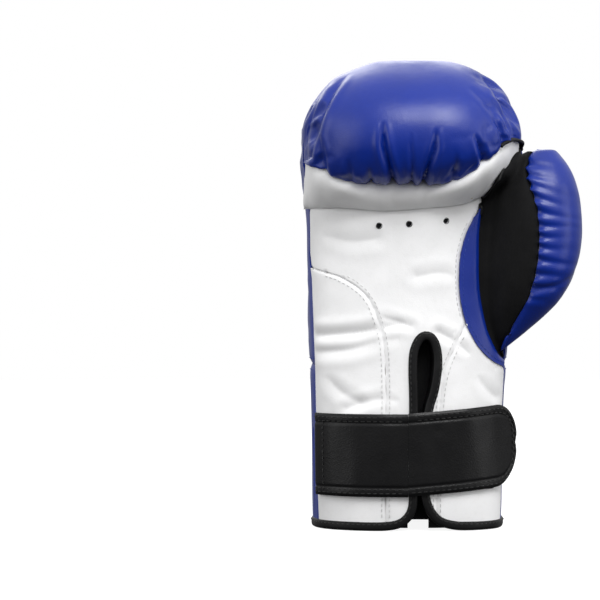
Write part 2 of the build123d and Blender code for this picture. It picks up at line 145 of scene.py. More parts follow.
def smoothed(grid, times, hold_rows=(0, -1), hold_columns=(0, -1)):
    """A grid of points with its creases ironed out. The rows and columns named stay put."""
    for _ in range(times):
        padded = np.pad(grid, ((1, 1), (1, 1), (0, 0)), mode="edge")
        around = (padded[:-2, 1:-1] + padded[2:, 1:-1] + padded[1:-1, :-2] + padded[1:-1, 2:]) / 4
        new = grid + 0.5 * (around - grid)
        for row in hold_rows:
            new[row] = grid[row]
        for column in hold_columns:
            new[:, column] = grid[:, column]
        grid = new
    return grid


hand_tree = tree_of(
    "main_cover", "cuff_back_cover", "palm_cover", "heel_cover", "cuff_corner_cover",
    "thumb_base_strip", "web_panel", "grip_cover",
)
fist_tree = tree_of("main_cover", "finger_underside")

field_heights = np.arange(FIELD_LOW, FIELD_HIGH, FIELD_STEP)
field_angles = np.linspace(0, 2 * math.pi, FIELD_ANGLES, endpoint=False)


def sample_field():
    """How far the leather stands off the middle line, at each height and angle."""
    field = np.zeros((len(field_heights), FIELD_ANGLES))
    for i, height in enumerate(field_heights):
        origin = np.array((*MIDDLE, height))
        for j, angle in enumerate(field_angles):
            direction = np.array((math.cos(angle), math.sin(angle), 0.0))
            field[i, j] = np.linalg.norm(outermost(hand_tree, origin, direction) - origin)
        found = ~np.isnan(field[i])
        field[i] = np.interp(field_angles, field_angles[found], field[i, found],
                             period=2 * math.pi)
    return field


def sampled(table, row, column):
    """The points of a table at rows and columns that may lie between its own."""
    row = np.clip(row, 0, len(table) - 1.001)
    r, c = np.floor(row).astype(int), np.floor(column).astype(int)
    v, u = (row - r)[..., None], (column - c)[..., None]
    low = table[r, c] * (1 - u) + table[r, c + 1] * u
    high = table[r + 1, c] * (1 - u) + table[r + 1, c + 1] * u
    return low * (1 - v) + high * v


field = sample_field()
round_field = np.hstack([field, field[:, :2]])[..., None]  # its first columns again, to close it


def radius(height, angle):
    """How far the leather stands off the middle line at heights and angles."""
    column = (angle / (2 * math.pi) * FIELD_ANGLES) % FIELD_ANGLES
    return sampled(round_field, (height - FIELD_LOW) / FIELD_STEP, column)[..., 0]


def on_ring(height, angle, tilt=0.0):
    """Points of the leather at angles round the middle line, on a plane that may tilt along X."""
    z = np.full(len(angle), float(height))
    for _ in range(3):
        r = radius(z, angle)
        z = height + tilt * r * np.cos(angle)
    return np.stack([MIDDLE[0] + r * np.cos(angle), MIDDLE[1] + r * np.sin(angle), z], axis=1)


def seam_y(height, left):
    """Y of the side seams: the left one runs forward towards the hem."""
    if left:
        return np.interp(height, (0, 95, 150, 165, 192, 220), (-16.0, -13.5, -9.0, -4.5, -4.5, -13.0))
    return np.interp(height, (0, 150, 220), (-11.5, -10.5, -13.0))


def half_ring(height, back, count, tilt=0.0):
    """The leather from the right side seam to the left one, round the back or the palm side."""
    angle = np.radians(np.arange(-80, 261, 1.0))
    ring = on_ring(height, angle, tilt)
    right = np.interp(seam_y(height, False), ring[:161, 1], angle[:161])
    left = np.interp(-seam_y(height, True), -ring[180:, 1], angle[180:])
    if not back:
        left -= 2 * math.pi
    return along(on_ring(height, np.linspace(right, left, 300), tilt), count)


# The palm side as a table of rows, each from the right side seam to the left one.
PALM_COLUMNS, PALM_STEP = 241, 2.0
palm_heights = np.arange(2.0, 193.0, PALM_STEP)
palm_rows = np.array([half_ring(height, False, PALM_COLUMNS) for height in palm_heights])


def on_palm(share, height):
    """Points of the palm side at shares of the way from the right side seam to the left one."""
    column = np.clip(share, 0, 1) * (PALM_COLUMNS - 1.001)
    point = sampled(palm_rows, (height - palm_heights[0]) / PALM_STEP, column)
    point[..., 2] = height
    return point


def share_at(line):
    """X and Z of points on the palm side, as shares and heights."""
    result = []
    for x, z in line:
        nearest = round((z - palm_heights[0]) / PALM_STEP)
        row = palm_rows[int(np.clip(nearest, 0, len(palm_rows) - 1))]
        share = np.interp(-x, -row[:, 0], np.linspace(0, 1, PALM_COLUMNS))
        result.append((share, z))
    return np.array(result)


# ---------------------------------------------------------------- relief
def normals_of(grid):
    """Outward normals of a grid whose rows run up and columns run right as seen from outside."""
    up = np.gradient(grid, axis=0)
    side = np.gradient(grid, axis=1)
    return unit(np.cross(side, up))


def raised(grid, relief):
    """A grid moved out along its normals."""
    return grid + normals_of(grid) * relief[..., None]


def level_out(ahead):
    """Level directions square to the ones given, on their right."""
    return unit(np.stack([ahead[:, 1], -ahead[:, 0], np.zeros(len(ahead))], axis=1))


def ripple(points, size, seed, stretch=(1, 1, 1)):
    """Smooth unevenness, mostly between -1 and 1, the same on each run."""
    random = np.random.default_rng(seed)
    waves = random.normal(size=(9, 3)) / size * np.asarray(stretch)
    phases = random.uniform(0, 2 * math.pi, 9)
    return np.sin(points @ waves.T + phases).sum(axis=-1) / 4.5


def fold(distance, width):
    """A sharp groove with soft lips: -1 at its bottom."""
    d = np.abs(distance) / width
    return -np.exp(-(d ** 1.4)) + 0.35 * np.exp(-((d - 2.6) / 1.3) ** 2)


CREASE_POINTS = 48


def crease(points, path, width, depth, where=None):
    """A fold along a line of X and Z, fading out towards its first point."""
    gaps = np.linalg.norm(points[..., None, [0, 2]] - curve(path, CREASE_POINTS), axis=-1)
    share = gaps.argmin(axis=-1) / (CREASE_POINTS - 1)
    taper = np.clip(share * 3, 0, 1) ** 0.7
    relief = fold(gaps.min(axis=-1), width * (0.6 + 0.4 * taper)) * depth * taper
    return relief if where is None else relief * where


def edge_gaps(grid):
    """Distances from the first and last column and the first and last row, along the grid."""
    across = np.linalg.norm(np.diff(grid, axis=1), axis=-1)
    across = np.concatenate([np.zeros((len(grid), 1)), np.cumsum(across, axis=1)], axis=1)
    up = np.linalg.norm(np.diff(grid, axis=0), axis=-1)
    up = np.concatenate([np.zeros((1, grid.shape[1])), np.cumsum(up, axis=0)], axis=0)
    return across, across[:, -1:] - across, up, up[-1:] - up


def sewn(grid, sides, depth=1.0, width=1.6):
    """Turns the edges of a leather panel down into its seams."""
    gaps = dict(zip(("first", "last", "low", "high"), edge_gaps(grid)))
    drop = sum(-depth * np.exp(-(gaps[side] / width) ** 1.5) for side in sides)
    return raised(grid, np.maximum(drop, -depth))


# ---------------------------------------------------------------- making meshes
def new_object(name, points, faces, material, body=None):
    """A piece made from points in millimetres, riding its body."""
    mesh = bpy.data.meshes.new(name)
    mesh.from_pydata([tuple(p) for p in np.asarray(points) * METRES], [], faces)
    mesh.validate()
    mesh.polygons.foreach_set("use_smooth", [True] * len(mesh.polygons))
    mesh.set_sharp_from_angle(angle=math.radians(55))
    mesh.materials.append(material)
    made = bpy.data.objects.new(name, mesh)
    bpy.context.scene.collection.objects.link(made)
    if body:
        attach(made, body)
    return made


def quads(rows, columns, start=0, flip=False, wrap=False):
    """Faces of a grid of points, numbered row by row."""
    faces = []
    for r in range(rows - 1):
        for c in range(columns if wrap else columns - 1):
            d = (c + 1) % columns
            face = (r * columns + c, r * columns + d, (r + 1) * columns + d, (r + 1) * columns + c)
            faces.append([start + i for i in (reversed(face) if flip else face)])
    return faces


def skin(name, grid, material, body=None, thickness=LEATHER, keep=None):
    """A sheet of leather or cloth of even thickness from a grid of points on its outer face."""
    rows, columns = grid.shape[:2]
    inner = grid - normals_of(grid) * thickness
    count = rows * columns
    points = np.concatenate([grid.reshape(-1, 3), inner.reshape(-1, 3)])
    outer = quads(rows, columns)
    if keep is not None:
        flat = keep.reshape(-1)
        outer = [face for face in outer if flat[face].all()]
    edges = dict.fromkeys(edge for face in outer for edge in zip(face, face[1:] + face[:1]))
    rim = [(b, a) for a, b in edges if (b, a) not in edges]
    faces = outer + [[count + i for i in reversed(face)] for face in outer]
    faces += [[a, b, count + b, count + a] for a, b in rim]
    used, corners = np.unique(faces, return_inverse=True)
    faces = corners.reshape(-1, 4).tolist()
    made = new_object(name, points[used], faces, material, body)
    weld(made)
    return made


def weld(made, distance=0.02):
    """Joins points that lie in the same place, as at the poles of the fist."""
    shape = bmesh.new()
    shape.from_mesh(made.data)
    bmesh.ops.remove_doubles(shape, verts=shape.verts, dist=distance * METRES)
    bmesh.ops.dissolve_degenerate(shape, edges=shape.edges, dist=distance * METRES / 2)
    bmesh.ops.recalc_face_normals(shape, faces=shape.faces)
    shape.to_mesh(made.data)
    shape.free()
    made.data.polygons.foreach_set("use_smooth", [True] * len(made.data.polygons))


def sweep(name, path, outward, profile, material, body=None, closed=False):
    """A tape whose closed profile, given as (across, out) points, follows a path."""
    path, outward = np.asarray(path, float), np.asarray(outward, float)
    if closed:
        ahead = np.roll(path, -1, axis=0) - np.roll(path, 1, axis=0)
    else:
        ahead = np.gradient(path, axis=0)
    ahead = unit(ahead)
    across = unit(np.cross(outward, ahead))
    out = np.cross(ahead, across)
    profile = np.asarray(profile, float)
    if profile.ndim == 2:
        profile = np.repeat(profile[None], len(path), axis=0)
    count = profile.shape[1]
    points = (path[:, None] + across[:, None] * profile[..., :1] + out[:, None] * profile[..., 1:])
    rows = len(path)
    if closed:
        points = np.concatenate([points, points[:1]])
        faces = quads(rows + 1, count, wrap=True)
        faces = [[i % (rows * count) for i in face] for face in faces]
        points = points[:-1]
    else:
        faces = quads(rows, count, wrap=True)
        faces += [list(range(count)), list(range((rows - 1) * count, rows * count))[::-1]]
    made = new_object(name, points.reshape(-1, 3), faces, material, body)
    weld(made, 0.001)
    return made


STITCH_SIDES, STITCH_RINGS = 6, 5
STITCH_STEPS = 6  # points of the path to each stitch and the gap after it


def stitches(name, lines, material, body, length=2.3, gap=0.9, thick=0.42, lift=0.12):
    """Rows of sewing thread. A line is a path and its outward normals."""
    points, faces = [], []
    for path, outward in lines:
        total = np.linalg.norm(np.diff(path, axis=0), axis=1).sum()
        count = max(1, int(total / (length + gap)))
        dense_path = along(np.hstack([path, outward]), count * STITCH_STEPS + 1)
        shares = np.linspace(0, 1, STITCH_RINGS)
        places = shares * length / (length + gap) * (STITCH_STEPS - 1)
        for i in range(count):
            piece = dense_path[i * STITCH_STEPS:(i + 1) * STITCH_STEPS]
            centre = np.stack([
                np.interp(places, np.arange(STITCH_STEPS), piece[:, k]) for k in range(3)
            ], axis=1)
            up = unit(piece[2, 3:])
            side = np.cross(up, unit(centre[-1] - centre[0]))
            first = len(points)
            for share, middle in zip(shares, centre):
                bulge = math.sin(math.pi * (0.12 + 0.76 * share))
                core = middle + up * (lift + (bulge - 0.75) * thick * 0.9)
                for k in range(STITCH_SIDES):
                    turn = 2 * math.pi * k / STITCH_SIDES
                    size = thick / 2 * (0.55 + 0.45 * bulge)
                    points.append(core + side * math.cos(turn) * size + up * math.sin(turn) * size)
            faces += quads(STITCH_RINGS, STITCH_SIDES, first, wrap=True)
            faces.append(list(range(first, first + STITCH_SIDES))[::-1])
            faces.append(list(range(len(points) - STITCH_SIDES, len(points))))
    made = new_object(name, np.array(points), faces, material, body)
    weld(made, 0.0005)
    return made


# ---------------------------------------------------------------- cloth simulation
CLOTH_FRAMES = 20


def pressed_out(grid, material, pressure, spare, cap):
    """A leather grid pushed out by its padding. The borders stay, and no point moves past cap."""
    coarse = grid[::2, 2:-2:2]
    rows, columns = coarse.shape[:2]
    made = new_object("cloth_trial", coarse.reshape(-1, 3), quads(rows, columns), material)
    index = np.arange(rows * columns).reshape(rows, columns)
    border = np.unique(np.concatenate([index[0], index[-1], index[:, 0], index[:, -1]]))
    pins = made.vertex_groups.new(name="pins")
    pins.add([int(i) for i in border], 1.0, "REPLACE")
    settings = made.modifiers.new("cloth", "CLOTH").settings
    settings.quality = 6
    settings.mass = 0.4
    settings.tension_stiffness = 30
    settings.compression_stiffness = 30
    settings.bending_stiffness = 0.8
    settings.shrink_min = -spare
    settings.use_pressure = True
    settings.uniform_pressure_force = pressure
    settings.vertex_group_mass = "pins"
    settings.effector_weights.gravity = 0
    for step in range(1, CLOTH_FRAMES + 1):
        bpy.context.scene.frame_set(step)
    shaped = made.evaluated_get(bpy.context.evaluated_depsgraph_get()).to_mesh()
    places = np.zeros(rows * columns * 3)
    shaped.vertices.foreach_get("co", places)
    moved = places.reshape(rows, columns, 3) / METRES - coarse
    size = np.linalg.norm(moved, axis=-1, keepdims=True)
    moved = moved * np.minimum(1, cap / np.maximum(size, 1e-6))
    bpy.data.objects.remove(made)
    bpy.context.scene.frame_set(1)
    row_at, column_at = np.arange(rows) * 2, 2 + np.arange(columns) * 2
    wide = np.zeros((rows, grid.shape[1], 3))
    for r in range(rows):
        for k in range(3):
            wide[r, :, k] = np.interp(np.arange(grid.shape[1]), column_at, moved[r, :, k], 0, 0)
    across, rest, _, _ = edge_gaps(grid)
    full = np.zeros(grid.shape)
    for c in range(grid.shape[1]):
        for k in range(3):
            full[:, c, k] = np.interp(np.arange(len(grid)), row_at, wide[:, c, k])
    calm = np.clip((np.minimum(across, rest) - 6) / 22, 0, 1)
    return grid + smoothed(full * calm[..., None], 4)


# ---------------------------------------------------------------- materials
def node(tree, kind, output, values=(), wires=()):
    """One output of a new node, with values and wires put in the sockets that they name."""
    made = tree.nodes.new("ShaderNode" + kind)
    for socket, value in dict(values).items():
        made.inputs[socket].default_value = value
    for socket, wire in dict(wires).items():
        tree.links.new(wire, made.inputs[socket])
    return made.outputs[output]


def start_material(name, roughness, specular=0.5, coat=0.0, sheen=0.0):
    """A new material with these values in its shader, and its node tree."""
    made = bpy.data.materials.new(name)
    made.use_nodes = True
    tree = made.node_tree
    values = {
        "Roughness": roughness, "Specular IOR Level": specular, "Coat Weight": coat,
        "Coat Roughness": 0.35, "Sheen Weight": sheen,
    }
    for socket, value in values.items():
        tree.nodes["Principled BSDF"].inputs[socket].default_value = value
    tree.nodes.new("ShaderNodeTexCoord")
    return made, tree


def finish_material(tree, colour, roughness, normal):
    """Wires a colour, a roughness and a relief to the shader."""
    for socket, wire in (("Base Color", colour), ("Roughness", roughness), ("Normal", normal)):
        tree.links.new(wire, tree.nodes["Principled BSDF"].inputs[socket])


def own_place(tree):
    """The object's own coordinates, in metres, as wires for a texture."""
    return {"Vector": tree.nodes["Texture Coordinate"].outputs["Object"]}


def noise(tree, size, detail=3.0, roughness=0.55):
    """Smooth noise whose patches are about size millimetres across."""
    values = {"Scale": 1 / (size * METRES), "Detail": detail, "Roughness": roughness}
    return node(tree, "TexNoise", "Fac", values, own_place(tree))


def cells(tree, size):
    """Pebbled cells about size millimetres across."""
    return node(tree, "TexVoronoi", "Distance", {"Scale": 1 / (size * METRES)}, own_place(tree))


def threads(tree, size, direction):
    """Parallel threads, size millimetres apart."""
    values = {"Scale": 2 * math.pi / 20 / (size * METRES), "Distortion": 0.6, "Detail": 1.0}
    bands = node(tree, "TexWave", "Fac", values, own_place(tree))
    bands.node.bands_direction = direction
    return bands


def blend_of(tree, factor, low, high, first, second):
    """A colour that runs from first to second as factor goes from low to high."""
    colour = node(tree, "ValToRGB", "Color", wires={"Fac": factor})
    ends = colour.node.color_ramp.elements
    ends[0].position = low
    ends[1].position = high
    ends[0].color = (*first, 1)
    ends[1].color = (*second, 1)
    return colour


def ranged(tree, factor, low, high, first=0.3, last=0.7):
    """A number that runs from low to high as factor goes from first to last."""
    values = {"From Min": first, "From Max": last, "To Min": low, "To Max": high}
    return node(tree, "MapRange", "Result", values, {"Value": factor})


def mixed(tree, first, second, factor):
    """A colour between two others."""
    made = tree.nodes.new("ShaderNodeMix")
    made.data_type = "RGBA"
    made.inputs["Factor"].default_value = factor
    tree.links.new(first, made.inputs[6])
    tree.links.new(second, made.inputs[7])
    return made.outputs[2]


def bump(tree, height, depth, strength, under=None):
    """Relief of depth millimetres, over what lies under it."""
    wires = {"Height": height}
    if under is not None:
        wires["Normal"] = under
    return node(tree, "Bump", "Normal", {"Distance": depth * METRES, "Strength": strength}, wires)


def shade(colour, amount):
    """The same colour, darker or lighter."""
    return tuple(min(1.0, max(0.0, c * amount)) for c in colour)


def leather(name, colour, worn, roughness, grain=0.8, depth=0.07, specular=0.5, coat=0.0):
    """Coated leather: pebbled grain, soft creasing, uneven dye and rubbed spots scattered by noise."""
    made, tree = start_material(name, roughness, specular, coat)
    broad, fine = noise(tree, 38, 2.0), noise(tree, 3.2, 4.0)
    dye = blend_of(tree, broad, 0.32, 0.7, shade(colour, 0.9), shade(colour, 1.08))
    rubbed = blend_of(tree, fine, 0.52, 0.86, colour, worn)
    gloss = ranged(tree, noise(tree, 11, 4.0), roughness - 0.05, roughness + 0.08)
    creased = bump(tree, noise(tree, 7.5, 5.0, 0.5), 0.5, 0.16)
    pebbled = bump(tree, cells(tree, grain), depth, 0.55, creased)
    pored = bump(tree, noise(tree, grain * 0.45, 2.0), depth * 0.5, 0.4, pebbled)
    finish_material(tree, mixed(tree, dye, rubbed, 0.28), gloss, pored)
    return made


def cloth(name, colour, lit, roughness, size, depth=0.12, sheen=0.15):
    """Woven or knitted cloth: crossing threads, lint and uneven dye."""
    made, tree = start_material(name, roughness, 0.15, 0.0, sheen)
    patchy = noise(tree, 9, 5.0)
    woven = mixed(tree, threads(tree, size, "X"), threads(tree, size, "Z"), 0.5)
    lint = bump(tree, noise(tree, 1.1, 4.0), 0.1, 0.5)
    finish_material(tree, blend_of(tree, patchy, 0.35, 0.75, colour, lit),
                    ranged(tree, patchy, roughness - 0.05, roughness + 0.05),
                    bump(tree, woven, depth, 0.7, lint))
    return made


def foam_material(name, colour, roughness, cell):
    """Open-cell foam or pile: pitted all over."""
    made, tree = start_material(name, roughness, 0.2, 0.0, 0.1)
    patchy = noise(tree, 16, 3.0)
    pits = bump(tree, cells(tree, cell), 0.35, 0.9)
    finish_material(tree, blend_of(tree, patchy, 0.3, 0.75, shade(colour, 0.82), colour),
                    ranged(tree, patchy, roughness - 0.06, roughness + 0.04),
                    bump(tree, noise(tree, cell * 0.6), 0.15, 0.6, pits))
    return made


BLUE, WHITE, BLACK = (0.0002, 0.0185, 0.235), (0.86, 0.86, 0.865), (0.004, 0.004, 0.0045)
blue_leather = leather("blue_leather", BLUE, (0.004, 0.03, 0.31), 0.33, specular=0.42, coat=0.08)
white_leather = leather("white_leather", WHITE, (0.72, 0.715, 0.70), 0.5, depth=0.05, specular=0.4)
black_leather = leather("black_leather", BLACK, (0.010, 0.010, 0.0105), 0.32, grain=0.9, depth=0.12,
                        specular=0.24)
binding_leather = leather("binding_leather", BLACK, (0.008, 0.008, 0.0085), 0.42, grain=0.6,
                          specular=0.2)
web_cloth = cloth("web_cloth", (0.0025, 0.0025, 0.003), (0.006, 0.006, 0.0065), 0.8, 0.7, sheen=0.03)
lining_cloth = cloth("lining_cloth", (0.006, 0.006, 0.007), (0.012, 0.012, 0.013), 0.9, 0.9)
foam = foam_material("foam", (0.78, 0.74, 0.62), 0.9, 1.3)
loop_pile = foam_material("loop_pile", (0.012, 0.012, 0.013), 0.95, 0.8)
hook_tape = foam_material("hook_tape", (0.01, 0.01, 0.011), 0.55, 1.1)
patch_grey = leather("patch_grey", (0.50, 0.52, 0.54), (0.62, 0.63, 0.64), 0.45, 0.5, 0.03)
patch_ink = leather("patch_ink", (0.004, 0.03, 0.035), (0.01, 0.05, 0.055), 0.4, 0.5, 0.02)
patch_panel = leather("patch_panel", (0.66, 0.66, 0.66), (0.7, 0.7, 0.7), 0.5, 0.5, 0.02)
blue_thread = cloth("blue_thread", (0.01, 0.035, 0.26), (0.02, 0.06, 0.36), 0.6, 0.3)
# The white thread is given mid grey instead of white: painted shade standing in for the small shadows that
# show the stitches on the white leather.
white_thread_painted_shade = cloth("white_thread_painted_shade", (0.5, 0.5, 0.5), (0.66, 0.66, 0.65), 0.7, 0.3)
black_thread = cloth("black_thread", (0.012, 0.012, 0.012), (0.03, 0.03, 0.03), 0.6, 0.3)

# ---------------------------------------------------------------- blue leather over the fist
FIST_COLUMNS = 201
LOW_ROWS, TOP_ROWS = 71, 171
POLE_GAP = 0.002  # in radians: no ray goes through a pole itself
pole_axis = POLES[1] - POLES[0]
pole_middle = (POLES[0] + POLES[1]) / 2
pole_tilt = pole_axis[2] / pole_axis[0]


def fist_row(share):
    """One line over the fist from the right pole to the left one; share 1 is its lower edge."""
    first = unit(pole_axis)
    back = np.array((0.0, 1.0, 0.0))
    top = np.cross(first, back)
    edge = np.array(FIST_EDGE)
    points = []
    for theta in np.linspace(POLE_GAP, math.pi - POLE_GAP, 140):
        x = pole_middle[0] + pole_axis[0] / 2 * math.cos(theta)
        phi = math.radians(share * np.interp(x, edge[:, 0], edge[:, 1]))
        outward = math.cos(phi) * back + math.sin(phi) * top
        direction = math.cos(theta) * first + math.sin(theta) * outward
        points.append(outermost(fist_tree, pole_middle, direction))
    points = np.array(points)
    points = points[~np.isnan(points[:, 0])]
    return along(points, FIST_COLUMNS)


def fist_base():
    """The fist's leather before its pleats: half rings up to the poles, then lines between them."""
    low = [
        half_ring(WRIST_SEAM + (pole_middle[2] - WRIST_SEAM) * t, True, FIST_COLUMNS, pole_tilt * t)
        for t in np.linspace(0, 1, LOW_ROWS)[:-1]
    ]
    top = [fist_row(share) for share in np.linspace(0, 1, TOP_ROWS)]
    grid = smoothed(np.array(low + top), 14)
    for column in (0, -1):
        grid[LOW_ROWS - 1:, column] = grid[LOW_ROWS - 1:, column].mean(axis=0)
    return grid


def fist_relief(points):
    """Pleats, gathers and softness of the blue leather, in millimetres along its normals."""
    x, y, z = points[..., 0], points[..., 1], points[..., 2]
    front = np.clip((-y - 18) / 12, 0, 1)
    back = np.clip((y + 8) / 10, 0, 1)
    right = np.clip((x - 12) / 14, 0, 1)
    left = np.clip((-x - 12) / 14, 0, 1)
    h = 0.55 * ripple(points, 26, 3) + 0.18 * ripple(points, 9, 5)
    strong = (  # deep pleats drawn up from the gathered edge
        (((-17.5, 240), (-16.8, 226), (-13.5, 214), (-9.5, 202)), 1.5, 3.0),
        (((13.5, 236), (12.2, 224), (8.6, 212), (6.2, 202)), 1.4, 2.6),
        (((35.5, 233), (39.0, 226), (41.5, 218), (41.8, 208)), 1.5, 2.6),
        (((-1.6, 234), (-1.4, 226), (-0.6, 216), (0.4, 204)), 1.0, 0.9),
        (((-25.5, 214), (-24.6, 209), (-22.5, 203)), 1.2, 1.3),
        (((-53.5, 234), (-53.0, 222), (-50.0, 210)), 1.4, 1.7),
        (((25.5, 222), (25.2, 214), (23.5, 204)), 1.1, 1.0),
        (((-37.5, 219), (-36.4, 211), (-33.5, 203)), 1.2, 0.9),
    )
    fans = (  # long pleats that run to the thumb-side pole
        (((42.5, 274), (50.5, 262), (57.5, 246), (62.5, 232)), 1.7, 2.4),
        (((47.0, 255), (53.5, 246), (57.5, 236), (60.5, 228)), 1.5, 2.3),
        (((46.0, 243), (51.0, 238), (54.0, 231), (57.0, 223)), 1.3, 1.8),
        (((33.0, 262), (45.0, 251), (50.5, 240), (53.5, 226)), 1.8, 1.2),
        (((60.5, 258), (65.0, 246), (66.8, 236), (67.5, 228)), 1.2, 1.2),
    )
    little = (  # the long fold inside the little-finger outline
        (((-36.0, 273), (-47.0, 259), (-54.5, 241), (-58.5, 222)), 1.6, 2.2),
        (((-50.5, 262), (-57.5, 248), (-60.8, 232), (-61.5, 221)), 1.2, 1.0),
    )
    behind = (  # short pleats on the back of the little-finger side
        (((-42.0, 268), (-50.0, 264), (-57.0, 257)), 1.4, 1.3),
        (((-45.0, 256), (-54.0, 252), (-61.5, 244)), 1.4, 1.5),
        (((-38.0, 247), (-50.0, 243), (-61.0, 236)), 1.5, 1.1),
        (((-36.0, 213), (-48.0, 218), (-60.0, 222)), 1.6, 1.7),
        (((-44.0, 203), (-54.0, 211), (-61.5, 219)), 1.4, 1.4),
    )
    thumb_side = (  # creases that radiate from where the thumb is caught to the hand
        (((28.0, 226), (42.0, 213), (55.5, 202)), 1.5, 1.5),
        (((24.0, 204), (40.0, 203), (55.5, 200)), 1.6, 1.6),
        (((30.0, 186), (44.0, 193), (55.5, 199)), 1.4, 1.2),
        (((20.7, 276), (38.0, 268), (52.0, 252), (60.0, 236)), 1.6, 1.4),
        (((46.0, 240), (53.0, 224), (56.5, 206)), 1.4, 1.2),
    )
    groups = (
        (strong, front), (fans, right * (1 - back)), (little, left * (1 - back)),
        (behind, back * left), (thumb_side, back * right),
    )
    for paths, where in groups:
        for path, width, depth in paths:
            h = h + crease(points, path, width, depth, where)
    wrist = np.clip((112 - z) / 14, 0, 1) * back
    h = h + wrist * (0.35 * ripple(points, 5, 8, (1.6, 1, 0.35)) - 0.2)
    return h


def gathers(grid):
    """Puffed lobes and small tucks along the gathered lower edge of the fist."""
    x = grid[..., 0]
    below = edge_gaps(grid)[3]
    front = np.zeros(len(grid))
    front[LOW_ROWS - 1 + int(0.55 * TOP_ROWS):] = 1
    ties = np.array((-62, -51, -35, -23.5, -10.5, 0.2, 6.8, 23.5, 42, 55, 68))
    place = np.clip(np.searchsorted(ties, x) - 1, 0, len(ties) - 2)
    part = (x - ties[place]) / (ties[place + 1] - ties[place])
    lobe = 1 - np.abs(2 * np.clip(part, 0, 1) - 1) ** 2.2
    near = np.exp(-((below - 9) / 11) ** 2)
    tucks = np.exp(-below / 3.5) * (0.5 * ripple(grid, 1.9, 11, (1, 0.2, 0.2)))
    return front[:, None] * (near * (1.5 * lobe - 0.5) + tucks)


WRIST_BOW, WRIST_REACH, HALF_WRIST = 3.5, 22, 60


def wrist_bow(grid):
    """The lift that bows the wrist seam: up at the sides and as much down in the middle."""
    middle = np.clip(1 - (np.abs(grid[..., 0]) / HALF_WRIST) ** 2, 0, 1)
    near = np.exp(-((grid[..., 2] - WRIST_SEAM) / WRIST_REACH) ** 2)
    return near * (WRIST_BOW - 2 * WRIST_BOW * middle)


fist_flat = pressed_out(fist_base(), blue_leather, pressure=4, spare=0.02, cap=1.8)
fist_grid = raised(fist_flat, fist_relief(fist_flat) + gathers(fist_flat))
fist_grid = sewn(fist_grid, ("low",), 1.3, 2.2)
fist_grid[:LOW_ROWS - 1, :, 2] += wrist_bow(fist_flat)[:LOW_ROWS - 1]
for column in (0, -1):
    fist_grid[LOW_ROWS - 1:, column] = fist_flat[LOW_ROWS, column]

fist_shell = skin("fist_leather", fist_grid, blue_leather, "glove")
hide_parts("main_cover")

# ---------------------------------------------------------------- back of the cuff
CUFF_ROWS = 60
cuff_rows = np.array([half_ring(z, True, 161) for z in np.linspace(2.0, WRIST_SEAM, CUFF_ROWS)])
cuff_relief = 0.35 * ripple(cuff_rows, 12, 21, (1, 1, 0.5)) + 0.25 * ripple(cuff_rows, 30, 22)
under_seam = np.exp(-((cuff_rows[..., 2] - 90) / 9) ** 2)
cuff_relief = cuff_relief + under_seam * 0.55 * ripple(cuff_rows, 4.5, 23, (1.3, 1, 0.3))
cuff_grid = sewn(raised(cuff_rows, cuff_relief), ("high",), 1.3, 2.2)
cuff_grid[..., 2] += wrist_bow(cuff_rows)
cuff_back = skin("cuff_back_leather", cuff_grid, blue_leather, "glove")
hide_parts("cuff_back_cover")

# ---------------------------------------------------------------- palm panels
ACROSS = 150.0  # millimetres round the palm side that a share of 1 stands for, near enough


SEAM_POINTS = 80


def seam_on_palm(line):
    """A smooth seam through points of X and Z, as shares and heights."""
    return share_at(curve(line, SEAM_POINTS))


def side_line(share, low, high):
    """A line up the palm side at one share."""
    heights = np.linspace(low, high, SEAM_POINTS)
    return np.stack([np.full(SEAM_POINTS, float(share)), heights], axis=1)


def patch(left, right, rows, columns):
    """A grid on the palm side between a left and a right seam, both drawn upwards."""
    scale = np.array((ACROSS, 1.0))
    left, right = along(left * scale, rows) / scale, along(right * scale, rows) / scale
    share = np.linspace(0, 1, columns)[None, :, None]
    flat = left[:, None] * (1 - share) + right[:, None] * share
    return on_palm(flat[..., 0], flat[..., 1])


def palm_relief(points):
    """Soft wrinkles of the white leather, most where the wrist bends."""
    h = 0.35 * ripple(points, 22, 31) + 0.12 * ripple(points, 7, 32, (0.6, 1, 1.2))
    folds = (
        (((-2.0, 122.5), (-14.0, 121.0), (-32.0, 117.5), (-57.0, 115.5)), 2.6, 2.25),
        (((-6.0, 114.5), (-20.0, 112.0), (-38.0, 107.5), (-56.0, 106.0)), 2.8, 1.5),
        (((-22.0, 128.0), (-10.0, 125.0), (0.0, 121.5)), 2.0, 0.9),
        (((36.0, 104.0), (27.0, 112.0), (17.0, 117.5)), 2.2, 1.35),
        (((-6.0, 77.0), (-20.0, 78.0), (-38.0, 72.5)), 2.2, 1.05),
        (((-50.0, 92.0), (-42.0, 83.0), (-30.0, 76.0)), 2.6, 0.9),
        (((30.0, 150.0), (18.0, 153.0), (4.0, 151.0)), 2.6, 0.675),
        (((-52.0, 176.0), (-36.0, 172.0), (-20.0, 173.0)), 2.8, 0.675),
        (((40.0, 92.0), (46.0, 84.0), (52.0, 79.0)), 2.2, 0.75),
    )
    for path, width, depth in folds:
        h = h + crease(points, path, width, depth)
    return h


def inside(points, outline):
    """Whether X and Z of points lie inside a closed outline."""
    x, z = points[..., 0], points[..., 2]
    result = np.zeros(x.shape, bool)
    for (x0, z0), (x1, z1) in zip(outline, np.roll(outline, -1, axis=0)):
        if z0 == z1:
            continue
        crosses = (z0 > z) != (z1 > z)
        result ^= crosses & (x < (x1 - x0) * (z - z0) / (z1 - z0) + x0)
    return result


